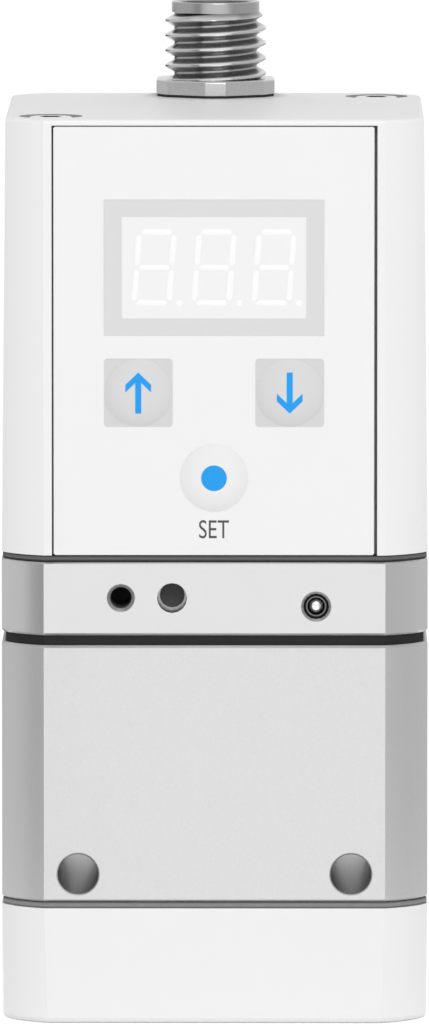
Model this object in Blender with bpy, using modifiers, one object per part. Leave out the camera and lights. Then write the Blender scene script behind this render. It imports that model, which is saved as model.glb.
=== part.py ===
"""Electro pneumatic regulator, in metres, +Z up.

The origin is the centre of the base cap's underside, and the front panel faces -Y. The regulator is a
stack of layers held by long screws: base cap, regulator body, pilot block and electronics cover, with a
gasket between each two. The body holds the main poppet and the control piston, the pilot block the
airways, and the cover the solenoid valves, the pressure sensor and the electronics.
"""

import bpy
import bmesh
from math import acos, cos, pi, radians, sin, sqrt, tau
from mathutils import Matrix, Vector

# Plan outline that all layers share
BODY_WIDTH = 0.0500
BODY_DEPTH = 0.0475
CORNER_CUT = 0.0050
CORNER_RADIUS = 0.0095

# Clearances
LAYER_GAP = 0.00005
FIT_GAP = 0.0001
SCREW_GAP = 0.00015
REST_GAP = 0.0003
CUT_MARGIN = 0.001

# Layers, and the spaces that their gaskets fill
CAP_HEIGHT = 0.0136
CAP_GASKET_SPACE = 0.00075
BODY_GASKET_SPACE = 0.00117
PILOT_HEIGHT = 0.00873
COVER_GASKET_SPACE = 0.0007

# Base cap, with a pocket between the sinks of its screws
CAP_NARROWING = 0.00013
CAP_BOTTOM_CORNER = 0.0053
CAP_EDGE = 0.0006
CAP_FLOOR = 0.0030
CAP_SINK_WALL = 0.0026
CAP_END_WALL = 0.00375
CAP_POCKET_CORNER = 0.0030
CAP_POST_TOP_RADIUS = 0.0013
CAP_POST_FOOT_RADIUS = 0.0017
CAP_POST_SETBACK = 0.0020
CAP_POST_COUNT = 4

# Gaskets: how far each edge stays back from the outline, and from the openings
CAP_GASKET_SETBACK = 0.00015
BODY_GASKET_SETBACK = 0.0005
COVER_GASKET_SETBACK = 0.00015
COVER_GASKET_LAND = 0.0021
CAP_GASKET_MARGIN = 0.0008
BODY_GASKET_MARGIN = 0.0004

# Regulator body
METAL_CHAMFER = 0.0003
PORT_RADIUS = 0.0043
PORT_DEPTH = 0.0095
PORT_CHAMFER = 0.0004
PORT_WALL = 0.0012
OUTLET_DRILL_RADIUS = 0.0035
OUTLET_DRILL_END = 0.0045
SUPPLY_DRILL_RADIUS = 0.00225
EXHAUST_DRILL_RADIUS = 0.00225
EXHAUST_DRILL_INSET = 0.00325
MOUNT_HOLE_RADIUS = 0.00235
MOUNT_HOLE_EDGE = 0.0090
MOUNT_HOLE_RISE = 0.0033
MOUNT_HOLE_CHAMFER = 0.0002
SUPPLY_CHAMBER_RADIUS = 0.0090
SEAT_HOLE_RADIUS = 0.0040
SEAT_LIP_WIDTH = 0.0005
SEAT_LIP_HEIGHT = 0.0006
STEM_HOLE_RADIUS = 0.0030
PISTON_BORE_WALL = 0.0090
SIGNAL_DRILL_RADIUS = 0.0008
SIGNAL_DRILL_EDGE = 0.0070

# Main poppet and what guides it
POPPET_BORE_RADIUS = 0.0014
POPPET_NECK_RADIUS = 0.0023
POPPET_DISC_MARGIN = 0.0017
POPPET_DISC_THICKNESS = 0.0012
POPPET_RIM_WIDTH = 0.00045
POPPET_RIM_HEIGHT = 0.0005
POPPET_TAIL_RADIUS = 0.0032
POPPET_SEAL_THICKNESS = 0.0008
POPPET_SEAL_GAP = 0.00015
POPPET_TRAVEL = 0.0010
GUIDE_HEIGHT = 0.0028
GUIDE_GROOVE_HEIGHT = 0.0013
GUIDE_GROOVE_DEPTH = 0.0011
SPRING_SPACE = 0.0014
SPRING_WIRE_RADIUS = 0.0003
SPRING_PITCH = 0.00098
SPRING_TURNS = 3

# Control piston
PISTON_THICKNESS = 0.0040
PISTON_HEADROOM = 0.0012
PISTON_FLOOR_ROOM = 0.00141
PISTON_GROOVE_DEPTH = 0.0019
PISTON_BOSS_RADIUS = 0.0045
PISTON_BOSS_HEIGHT = 0.0020

# Pilot block, with its front holes placed from the nearer side
CONTROL_RECESS_SETBACK = 0.0010
CONTROL_RECESS_DEPTH = 0.0010
FRONT_HOLES_RISE = 0.00443
TAPPED_HOLE_EDGE = 0.01404
TAPPED_HOLE_RADIUS = 0.00125
TAPPED_HOLE_CHAMFER = 0.0004
TAPPED_HOLE_DEPTH = 0.0080
VENT_EDGE = 0.02003
VENT_HOLE_RADIUS = 0.00175
VENT_HOLE_DEPTH = 0.0037
VENT_FILTER_RADIUS = 0.00142
VENT_FILTER_THICKNESS = 0.0020
VENT_AIRWAY_RADIUS = 0.0008
PLUG_EDGE = 0.0131
PLUG_DROP = 0.0010
PLUG_HOLE_RADIUS = 0.0015
PLUG_HOLE_CHAMFER = 0.00028
PLUG_SLEEVE_LENGTH = 0.0040
PLUG_SLEEVE_SETBACK = 0.0004
PLUG_BALL_RADIUS = 0.0010

# Screws that hold the stack together, placed from its sides
BASE_SCREW_RADIUS = 0.0015
BASE_SCREW_EDGE_X = 0.0040
BASE_SCREW_EDGE_Y = 0.01075
BASE_SCREW_REACH = 0.0040
BASE_HEAD_RADIUS = 0.00275
BASE_HEAD_HEIGHT = 0.0030
BASE_HEAD_SETBACK = 0.0011
COVER_SCREW_RADIUS = 0.0020
COVER_SCREW_EDGE_X = 0.0058
COVER_SCREW_EDGE_Y = 0.0062
COVER_SCREW_REACH = 0.0040
COVER_HEAD_RADIUS = 0.0036
COVER_HEAD_HEIGHT = 0.0021
COVER_HEAD_CROWN = 0.00105
COVER_SINK_GAP = 0.0002
SOCKET_FLATS = 0.0025
SOCKET_DEPTH = 0.0013

# Electronics cover
COVER_NARROWING = 0.0005
COVER_EDGE = 0.00045
COVER_WALL = 0.0020
COVER_CAVITY_CORNER = 0.0042
COVER_CAVITY_RADIUS = 0.0076
COLUMN_WALL = 0.0006
LEDGE_THICKNESS = 0.00105
LEDGE_WIDTH = 0.0018
LEDGE_HEIGHT = 0.0024
RECESS_TOP_RIM = 0.0007
BOSS_BASE_RADIUS = 0.0142
BOSS_TOP_MARGIN = 0.0008
BOSS_HEIGHT = 0.00095

# Front panel, its display and its keys
PANEL_MARGIN = 0.001275
PANEL_SHIFT = -0.00006
PANEL_SIDE_GAP = 0.000305
PANEL_BOTTOM_GAP = 0.0003
PANEL_TOP_GAP = 0.00015
PANEL_SETBACK = 0.00015
PANEL_THICKNESS = 0.0015
PANEL_CORNER = 0.0004
PANEL_CORNER_STEPS = 3
PANEL_HEAD = 0.0165
LENS_SPACING = 0.01465
KEY_ROW_SPACING = 0.0100
SET_KEY_RISE = 0.0088
LENS_COLUMN_GAP = 0.00195
LENS_HEIGHT = 0.0159
LENS_FLANGE = 0.0010
LENS_FLANGE_THICKNESS = 0.0006
DISPLAY_SETBACK = 0.0004
DISPLAY_EDGE = 0.0003
KEY_COLUMN_GAP = 0.00595
BUTTON_RADIUS = 0.00395
BUTTON_CLEARANCE = 0.00006
BUTTON_RISE = 0.0004
BUTTON_FLANGE_WIDTH = 0.0005
BUTTON_FLANGE_THICKNESS = 0.0007
BUTTON_TRAVEL = 0.0004
SWITCH_SIZE = 0.0060
SWITCH_HEIGHT = 0.0029
SWITCH_TIP_RADIUS = 0.0017
SWITCH_TIP_LENGTH = 0.0008

# Circuit boards
BOARD_THICKNESS = 0.0016
BOARD_COLUMN_GAP = 0.0008
BOARD_SCREW_INSET = 0.0025
BOARD_SCREW_RISE = 0.0050
BOARD_SCREW_DROP = 0.00525
BOARD_MARGIN = 0.0019
BOARD_POST_RADIUS = 0.0019
BOARD_SCREW_RADIUS = 0.0010
BOARD_HEAD_RADIUS = 0.0018
BOARD_HEAD_TOP_RADIUS = 0.0014
BOARD_HEAD_HEIGHT = 0.0011
BOARD_SCREW_BITE = 0.0035
CONNECTOR_BOARD_WIDTH = 0.0200
CONNECTOR_BOARD_DROP = 0.0018
CONNECTOR_BOARD_REACH = 0.00715

# Cable connector on the cover, placed from the rear face
CONNECTOR_REAR = 0.0179
CONNECTOR_HEIGHT = 0.0114
THREAD_RADIUS = 0.0060
RIM_STEP = 0.0008
RIM_HEIGHT = 0.0014
RIM_WALL = 0.0008
COLLAR_WIDENING = 0.0010
COLLAR_CORNER_REACH = 0.00055
COLLAR_HEIGHT = 0.00195
SHELL_LIP_WIDTH = 0.0005
SHELL_LIP_HEIGHT = 0.0008
SHELL_TAIL = 0.0043
INSERT_TOP_DEPTH = 0.0054
KEY_WIDTH = 0.0010
KEY_THICKNESS = 0.0006
KEY_HEIGHT = 0.0040
PIN_RADIUS = 0.0005
PIN_TIP_RADIUS = 0.0003
PIN_CIRCLE = 0.0027
PIN_TOP_DEPTH = 0.0013
PIN_COUNT = 4
CONNECTOR_SEAL_RADIUS = 0.0003
CONNECTOR_NUT_WIDENING = 0.0005
CONNECTOR_NUT_HEIGHT = 0.0028

# Solenoid valves and pressure sensor on the pilot block
VALVE_BASE_WIDTH = 0.0120
VALVE_BASE_DEPTH = 0.0100
VALVE_BASE_HEIGHT = 0.0070
VALVE_SPACING = 0.0007
VALVE_COIL_SIZE = 0.0094
VALVE_COIL_CORNER = 0.0020
VALVE_COIL_HEIGHT = 0.0150
VALVE_CAP_RADIUS = 0.0034
VALVE_CAP_HEIGHT = 0.0016
VALVE_Y = 0.0030
VALVE_FROM_VENT = 0.00457
VALVE_AIRWAY_OFFSET = 0.0038
PLUNGER_RADIUS = 0.0020
PLUNGER_TIP_RADIUS = 0.0010
PLUNGER_TIP_HEIGHT = 0.0010
PLUNGER_LENGTH = 0.0120
PLUNGER_TRAVEL = 0.0003
SENSOR_SIZE = 0.0075
SENSOR_HEIGHT = 0.0050
SENSOR_STUB_RADIUS = 0.0013
SENSOR_BORE_RADIUS = 0.00065
SENSOR_STUB_LENGTH = 0.0020

# Facets of round forms
FINE = 26
MEDIUM = 16
SMALL = 10
CORNER_STEPS = 5
EDGE_STEPS = 2
SEAL_STEPS = 6
DOME_STEPS = 3
SPRING_STEPS = 12
SMOOTH_BELOW = radians(18)
BEVEL_ABOVE = radians(40)

# Heights worked out from the inside: poppet and its seat, ports, piston
BODY_BOTTOM = CAP_HEIGHT + CAP_GASKET_SPACE
GUIDE_BOTTOM = BODY_BOTTOM + REST_GAP
GUIDE_TOP = GUIDE_BOTTOM + GUIDE_HEIGHT
SPRING_BOTTOM = GUIDE_TOP + FIT_GAP
SPRING_TOP = SPRING_BOTTOM + SPRING_WIRE_RADIUS * 2 + SPRING_PITCH * SPRING_TURNS
DISC_BOTTOM = SPRING_TOP + FIT_GAP
DISC_TOP = DISC_BOTTOM + POPPET_DISC_THICKNESS
POPPET_SEAL_BOTTOM = DISC_TOP + LAYER_GAP
POPPET_SEAL_TOP = POPPET_SEAL_BOTTOM + POPPET_SEAL_THICKNESS
SEAT_HEIGHT = POPPET_SEAL_TOP + POPPET_SEAL_GAP
SUPPLY_CHAMBER_TOP = SEAT_HEIGHT + SEAT_LIP_HEIGHT
PORT_Z = SUPPLY_CHAMBER_TOP + PORT_WALL + PORT_RADIUS
POPPET_TOP = PORT_Z - REST_GAP
PISTON_BORE_BOTTOM = PORT_Z + PORT_RADIUS + PORT_WALL
PISTON_BOSS_BOTTOM = PISTON_BORE_BOTTOM + POPPET_TRAVEL + PISTON_FLOOR_ROOM
PISTON_BOTTOM = PISTON_BOSS_BOTTOM + PISTON_BOSS_HEIGHT
PISTON_TOP = PISTON_BOTTOM + PISTON_THICKNESS
BODY_TOP = PISTON_TOP + PISTON_HEADROOM

# Heights of the layers above the body
PILOT_BOTTOM = BODY_TOP + BODY_GASKET_SPACE
PILOT_TOP = PILOT_BOTTOM + PILOT_HEIGHT
COVER_BOTTOM = PILOT_TOP + COVER_GASKET_SPACE
PANEL_BOTTOM = COVER_BOTTOM + PANEL_BOTTOM_GAP
SET_KEY_Z = PANEL_BOTTOM + SET_KEY_RISE
KEY_ROW_Z = SET_KEY_Z + KEY_ROW_SPACING
LENS_Z = KEY_ROW_Z + LENS_SPACING
PANEL_TOP = LENS_Z + PANEL_HEAD
RECESS_TOP = PANEL_TOP + PANEL_TOP_GAP
COVER_TOP = RECESS_TOP + RECESS_TOP_RIM
BOSS_TOP = COVER_TOP + BOSS_HEIGHT
RIM_TOP = BOSS_TOP + CONNECTOR_HEIGHT
MOUNT_HOLE_Z = BODY_BOTTOM + MOUNT_HOLE_RISE
FRONT_HOLES_Z = PILOT_BOTTOM + FRONT_HOLES_RISE
BOARD_SCREW_LOW_Z = PANEL_BOTTOM + BOARD_SCREW_RISE
BOARD_SCREW_HIGH_Z = PANEL_TOP - BOARD_SCREW_DROP
SHELL_BOTTOM = COVER_TOP - COVER_WALL - SHELL_TAIL
CONNECTOR_BOARD_TOP = SHELL_BOTTOM - CONNECTOR_BOARD_DROP

# Depths worked out from the front face
HALF_DEPTH = BODY_DEPTH / 2
FRONT_Y = -HALF_DEPTH
PANEL_FRONT_Y = FRONT_Y + PANEL_SETBACK
PANEL_BACK_Y = PANEL_FRONT_Y + PANEL_THICKNESS
RECESS_BACK_Y = PANEL_BACK_Y + FIT_GAP
COVER_INNER_FRONT_Y = RECESS_BACK_Y + LEDGE_THICKNESS
COVER_INNER_REAR_Y = HALF_DEPTH - COVER_WALL
BUTTON_BACK_Y = PANEL_BACK_Y + FIT_GAP + BUTTON_FLANGE_THICKNESS
SWITCH_TIP_Y = BUTTON_BACK_Y + BUTTON_TRAVEL + FIT_GAP
SWITCH_BACK_Y = SWITCH_TIP_Y + SWITCH_TIP_LENGTH + SWITCH_HEIGHT
BOARD_FRONT_Y = SWITCH_BACK_Y + FIT_GAP
BOARD_BACK_Y = BOARD_FRONT_Y + BOARD_THICKNESS
CONNECTOR_Y = HALF_DEPTH - CONNECTOR_REAR
EXHAUST_DRILL_Y = HALF_DEPTH - PORT_DEPTH + EXHAUST_DRILL_INSET

# Places across, worked out from the sides
HALF_WIDTH = BODY_WIDTH / 2
PANEL_HALF_WIDTH = HALF_WIDTH - CORNER_CUT - PANEL_MARGIN
RECESS_HALF_WIDTH = PANEL_HALF_WIDTH + PANEL_SIDE_GAP
BASE_SCREW_X = HALF_WIDTH - BASE_SCREW_EDGE_X
BASE_SCREW_Y = HALF_DEPTH - BASE_SCREW_EDGE_Y
COVER_SCREW_X = HALF_WIDTH - COVER_SCREW_EDGE_X
COVER_SCREW_Y = HALF_DEPTH - COVER_SCREW_EDGE_Y
COVER_SINK_RADIUS = COVER_HEAD_RADIUS + COVER_SINK_GAP
COLUMN_RADIUS = COVER_SINK_RADIUS + COLUMN_WALL
COLUMN_EDGE_X = COVER_SCREW_X - COLUMN_RADIUS
LENS_HALF_WIDTH = COLUMN_EDGE_X - LENS_COLUMN_GAP
KEY_COLUMN_X = COLUMN_EDGE_X - KEY_COLUMN_GAP
BOARD_HALF_WIDTH = COLUMN_EDGE_X - BOARD_COLUMN_GAP
BOARD_SCREW_X = BOARD_HALF_WIDTH - BOARD_SCREW_INSET
MOUNT_HOLE_X = HALF_WIDTH - MOUNT_HOLE_EDGE
SIGNAL_DRILL_X = HALF_WIDTH - SIGNAL_DRILL_EDGE
PISTON_BORE_RADIUS = HALF_WIDTH - PISTON_BORE_WALL
TAPPED_HOLE_X = TAPPED_HOLE_EDGE - HALF_WIDTH
VENT_X = VENT_EDGE - HALF_WIDTH
PLUG_X = HALF_WIDTH - PLUG_EDGE
EXHAUST_VALVE_X = VENT_X + VALVE_FROM_VENT
SUPPLY_VALVE_X = EXHAUST_VALVE_X - VALVE_BASE_WIDTH - VALVE_SPACING

# Radii worked out from what they fit
BASE_SCREW_HOLE = BASE_SCREW_RADIUS + SCREW_GAP
BASE_SINK_RADIUS = BASE_HEAD_RADIUS + SCREW_GAP
COVER_SCREW_HOLE = COVER_SCREW_RADIUS + SCREW_GAP
BOARD_SCREW_HOLE = BOARD_SCREW_RADIUS + SCREW_GAP
CAP_POCKET_HALF_WIDTH = BASE_SCREW_X - BASE_SINK_RADIUS - CAP_SINK_WALL
CAP_POCKET_HALF_DEPTH = HALF_DEPTH - CAP_END_WALL
POPPET_DISC_RADIUS = SEAT_HOLE_RADIUS + SEAT_LIP_WIDTH + POPPET_DISC_MARGIN
BUTTON_FLANGE_RADIUS = BUTTON_RADIUS + BUTTON_FLANGE_WIDTH
RIM_RADIUS = THREAD_RADIUS - RIM_STEP
SOCKET_BORE_RADIUS = RIM_RADIUS - RIM_WALL
SHELL_TAIL_RADIUS = THREAD_RADIUS - FIT_GAP
COLLAR_HALF_FLATS = THREAD_RADIUS + COLLAR_WIDENING
COLLAR_CORNER_RADIUS = COLLAR_HALF_FLATS + COLLAR_CORNER_REACH
BOSS_TOP_RADIUS = COLLAR_HALF_FLATS + BOSS_TOP_MARGIN

AXIS_Y = Matrix.Rotation(pi / 2, 4, "X")


def clear_scene():
    """Take away whatever the scene starts with."""
    for old in list(bpy.data.objects):
        bpy.data.objects.remove(old, do_unlink=True)


def new_collection(name):
    made = bpy.data.collections.new(name)
    bpy.context.scene.collection.children.link(made)
    return made


clear_scene()
PARTS = new_collection("Electro_Pneumatic_Regulator")
CUTTERS = new_collection("Cutters")


def new_object(name, shape, place=Matrix.Identity(4)):
    """Turn a bmesh into an object with that name, placed by a matrix."""
    mesh = bpy.data.meshes.new(name)
    shape.to_mesh(mesh)
    shape.free()
    mesh.shade_smooth()
    mesh.set_sharp_from_angle(angle=SMOOTH_BELOW)
    made = bpy.data.objects.new(name, mesh)
    made.matrix_world = place
    return made


def finish_piece(made, colour, roughness, metallic=0.0):
    """Link a piece to the model and give it a material of its own."""
    PARTS.objects.link(made)
    finish = bpy.data.materials.new(made.name + "_finish")
    finish.use_nodes = True
    shader = finish.node_tree.nodes["Principled BSDF"]
    shader.inputs["Base Color"].default_value = (*colour, 1.0)
    shader.inputs["Roughness"].default_value = roughness
    shader.inputs["Metallic"].default_value = metallic
    made.data.materials.append(finish)
    return made


def make_cutter(made):
    """Link a form that only shapes other pieces."""
    CUTTERS.objects.link(made)
    made.hide_render = True
    made.display_type = "WIRE"
    return made


def combine(target, other, operation):
    """Cut one form from a piece, or join it on."""
    change = target.modifiers.new(other.name, "BOOLEAN")
    change.operation = operation
    change.solver = "EXACT"
    change.object = other


def cut(target, *cutters):
    for cutter in cutters:
        combine(target, cutter, "DIFFERENCE")


def join(target, *others):
    for other in others:
        combine(target, other, "UNION")


def plan_outline(half_width, half_depth, corner=CORNER_CUT, radius=CORNER_RADIUS, inset=0.0):
    """Points round a rectangle with arcs across its corners, anticlockwise seen from above.

    corner is how far an arc reaches along each side. Where it equals the radius, the arc is tangent to
    the sides. inset moves the whole outline inwards.
    """
    reach = corner / 2 + sqrt((radius ** 2 - corner ** 2 / 2) / 2)
    turn = radius - inset
    start = acos(min(1.0, (reach - inset) / turn))
    points = []
    for quarter, (side_x, side_y) in enumerate(((1, 1), (-1, 1), (-1, -1), (1, -1))):
        for step in range(CORNER_STEPS + 1):
            angle = quarter * pi / 2 + start + (pi / 2 - 2 * start) * step / CORNER_STEPS
            x = side_x * (half_width - reach) + turn * cos(angle)
            y = side_y * (half_depth - reach) + turn * sin(angle)
            points.append((x, y))
    return points


def loft(rings):
    """Closed form through outlines at rising heights. Each ring is (height, points)."""
    shape = bmesh.new()
    loops = [[shape.verts.new((x, y, height)) for x, y in points] for height, points in rings]
    shape.faces.new(reversed(loops[0]))
    shape.faces.new(loops[-1])
    for lower, upper in zip(loops, loops[1:]):
        for index, corner in enumerate(lower):
            after = (index + 1) % len(lower)
            shape.faces.new((corner, lower[after], upper[after], upper[index]))
    return shape


def slab(bottom, top, points):
    """Straight-sided form over one outline."""
    return loft([(bottom, points), (top, points)])


def block(size, centre):
    shape = bmesh.new()
    place = Matrix.Translation(centre) @ Matrix.Diagonal((*size, 1.0))
    bmesh.ops.create_cube(shape, size=1.0, matrix=place)
    return shape


def box_between(low, high):
    """Block from its lowest corner to its highest."""
    low = Vector(low)
    high = Vector(high)
    return block(high - low, (low + high) / 2)


def round_edges(made, width, steps=EDGE_STEPS):
    bevel = made.modifiers.new("rounded_edges", "BEVEL")
    bevel.width = width
    bevel.segments = steps
    bevel.limit_method = "ANGLE"
    bevel.angle_limit = BEVEL_ABOVE


def rod(start, end, radius, steps=MEDIUM, end_radius=None):
    """Straight round bar, or a cone, from one point to another."""
    start = Vector(start)
    run = Vector(end) - start
    turn = run.to_track_quat("Z", "Y").to_matrix().to_4x4()
    shape = bmesh.new()
    bmesh.ops.create_cone(
        shape,
        cap_ends=True,
        segments=steps,
        radius1=radius,
        radius2=radius if end_radius is None else end_radius,
        depth=run.length,
        matrix=Matrix.Translation(start + run / 2) @ turn,
    )
    return shape


def prism(sides, across_flats, bottom, top, centre=(0.0, 0.0), turn=0.0):
    """Upright prism with a regular outline, such as a hexagon."""
    radius = across_flats / 2 / cos(pi / sides)
    points = []
    for side in range(sides):
        angle = turn + tau * side / sides
        points.append((centre[0] + radius * cos(angle), centre[1] + radius * sin(angle)))
    return slab(bottom, top, points)


def turned(name, profile, place=Matrix.Identity(4), steps=MEDIUM, ring=False):
    """Object turned about its own Z from (radius, height) points, listed down the outer side.

    A ring's profile closes on itself, and any other ends on the axis.
    """
    shape = bmesh.new()
    points = [shape.verts.new((radius, 0.0, height)) for radius, height in profile]
    for one, other in zip(points, points[1:]):
        shape.edges.new((one, other))
    if ring:
        shape.edges.new((points[-1], points[0]))
    mesh = bpy.data.meshes.new(name)
    shape.to_mesh(mesh)
    shape.free()
    made = bpy.data.objects.new(name, mesh)
    made.matrix_world = place
    spin = made.modifiers.new("turning", "SCREW")
    spin.axis = "Z"
    spin.angle = tau
    spin.steps = steps
    spin.render_steps = steps
    spin.use_merge_vertices = True
    spin.merge_threshold = 0.000001
    spin.use_smooth_shade = True
    return made


def circle_profile(ring_radius, height, section_radius, steps=SEAL_STEPS):
    """Section of an O-ring, listed down its outer side."""
    points = []
    for step in range(steps):
        angle = pi / 2 - tau * (step + 0.5) / steps
        points.append((ring_radius + section_radius * cos(angle), height + section_radius * sin(angle)))
    return points


def at(x=0.0, y=0.0, z=0.0):
    return Matrix.Translation((x, y, z))


def facing_front(x, y, z):
    """Place with local Z towards the front, for what is turned about a line along Y."""
    return at(x, y, z) @ AXIS_Y


def cutter(name, shape):
    return make_cutter(new_object(name, shape))


def turned_cutter(name, profile, place=Matrix.Identity(4), steps=MEDIUM, ring=False):
    return make_cutter(turned(name, profile, place, steps, ring))


def chamfered_hole(name, depth_point, mouth_point, radius, mouth_radius, steps=MEDIUM):
    """Cutter for a drilled hole whose mouth widens in a 45 degree chamfer."""
    mouth = Vector(mouth_point)
    run = mouth - Vector(depth_point)
    length = run.length
    widening = mouth_radius - radius
    profile = [
        (0.0, length + CUT_MARGIN),
        (mouth_radius + CUT_MARGIN, length + CUT_MARGIN),
        (radius, length - widening),
        (radius, 0.0),
        (0.0, 0.0),
    ]
    turn = run.to_track_quat("Z", "Y").to_matrix().to_4x4()
    return turned_cutter(name, profile, at(*depth_point) @ turn, steps)


def base_screw_places():
    return [(x, y) for x in (-BASE_SCREW_X, BASE_SCREW_X) for y in (-BASE_SCREW_Y, BASE_SCREW_Y)]


def cover_screw_places():
    return {"front": (-COVER_SCREW_X, -COVER_SCREW_Y), "rear": (COVER_SCREW_X, COVER_SCREW_Y)}


def signal_places():
    return {"supply": (-SIGNAL_DRILL_X, VALVE_Y), "outlet": (SIGNAL_DRILL_X, 0.0)}


def board_screw_places():
    columns = (PANEL_SHIFT - BOARD_SCREW_X, PANEL_SHIFT + BOARD_SCREW_X)
    return [(x, z) for x in columns for z in (BOARD_SCREW_LOW_Z, BOARD_SCREW_HIGH_Z)]


def button_places():
    return {
        "up": (PANEL_SHIFT - KEY_COLUMN_X, KEY_ROW_Z),
        "down": (PANEL_SHIFT + KEY_COLUMN_X, KEY_ROW_Z),
        "set": (PANEL_SHIFT, SET_KEY_Z),
    }


def round_places(count, circle_radius, centre_y=0.0):
    """Places evenly round a circle about the middle plane, none of them on it."""
    places = []
    for number in range(count):
        angle = tau * (number + 0.5) / count
        places.append((circle_radius * cos(angle), centre_y + circle_radius * sin(angle)))
    return places


def pin_places():
    return round_places(PIN_COUNT, PIN_CIRCLE, CONNECTOR_Y)


def rounded_rise(edge, steps=EDGE_STEPS):
    """Steps of a rounded edge from its flat face out to its side, as (height, inset) pairs."""
    pairs = []
    for step in range(steps + 1):
        angle = pi / 2 * step / steps
        pairs.append((edge * (1 - cos(angle)), edge * (1 - sin(angle))))
    return pairs


def drill_base_screw_holes(target, bottom, top):
    """Four upright clearance holes for the base screws."""
    for number, (x, y) in enumerate(base_screw_places(), start=1):
        hole = rod((x, y, bottom), (x, y, top), BASE_SCREW_HOLE, SMALL)
        cut(target, cutter(f"{target.name}_screw_hole_{number}", hole))


def cap_pocket_outline(margin=0.0):
    corner = CAP_POCKET_CORNER + margin
    return plan_outline(CAP_POCKET_HALF_WIDTH + margin, CAP_POCKET_HALF_DEPTH + margin, corner, corner)


def make_base_cap():
    low_half_width = HALF_WIDTH - CAP_NARROWING
    outlines = [
        (height, plan_outline(low_half_width, HALF_DEPTH, CAP_BOTTOM_CORNER, inset=inset))
        for height, inset in rounded_rise(CAP_EDGE)
    ]
    outlines.append((CAP_HEIGHT, plan_outline(HALF_WIDTH, HALF_DEPTH)))
    cap = finish_piece(new_object("base_cap", loft(outlines)), (0.90, 0.90, 0.89), 0.35)

    cut(cap, cutter("cap_pocket", slab(CAP_FLOOR, CAP_HEIGHT + CUT_MARGIN, cap_pocket_outline())))
    post_circle = SUPPLY_CHAMBER_RADIUS - CAP_POST_SETBACK
    for number, (x, y) in enumerate(round_places(CAP_POST_COUNT, post_circle), start=1):
        foot = (x, y, CAP_FLOOR - CUT_MARGIN)
        post = rod(foot, (x, y, BODY_BOTTOM), CAP_POST_FOOT_RADIUS, SMALL, CAP_POST_TOP_RADIUS)
        join(cap, cutter(f"cap_post_{number}", post))
    drill_base_screw_holes(cap, -CUT_MARGIN, CAP_HEIGHT + CUT_MARGIN)
    for number, (x, y) in enumerate(base_screw_places(), start=1):
        sink_top = BASE_HEAD_SETBACK + BASE_HEAD_HEIGHT + FIT_GAP
        sink = rod((x, y, -CUT_MARGIN), (x, y, sink_top), BASE_SINK_RADIUS)
        cut(cap, cutter(f"cap_screw_sink_{number}", sink))


def make_cap_gasket():
    outline = plan_outline(HALF_WIDTH, HALF_DEPTH, inset=CAP_GASKET_SETBACK)
    shape = slab(CAP_HEIGHT + LAYER_GAP, BODY_BOTTOM - LAYER_GAP, outline)
    gasket = finish_piece(new_object("cap_gasket", shape), (0.19, 0.19, 0.19), 0.7)
    low = CAP_HEIGHT - CUT_MARGIN
    high = BODY_BOTTOM + CUT_MARGIN
    cut(gasket, cutter("cap_gasket_opening", slab(low, high, cap_pocket_outline(CAP_GASKET_MARGIN))))
    drill_base_screw_holes(gasket, low, high)


def metal_layer(bottom, top):
    """Layer of the stack with its upper and lower edges chamfered."""
    inner = plan_outline(HALF_WIDTH, HALF_DEPTH, inset=METAL_CHAMFER)
    outer = plan_outline(HALF_WIDTH, HALF_DEPTH)
    low = bottom + METAL_CHAMFER
    high = top - METAL_CHAMFER
    return loft([(bottom, inner), (low, outer), (high, outer), (top, inner)])


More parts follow.
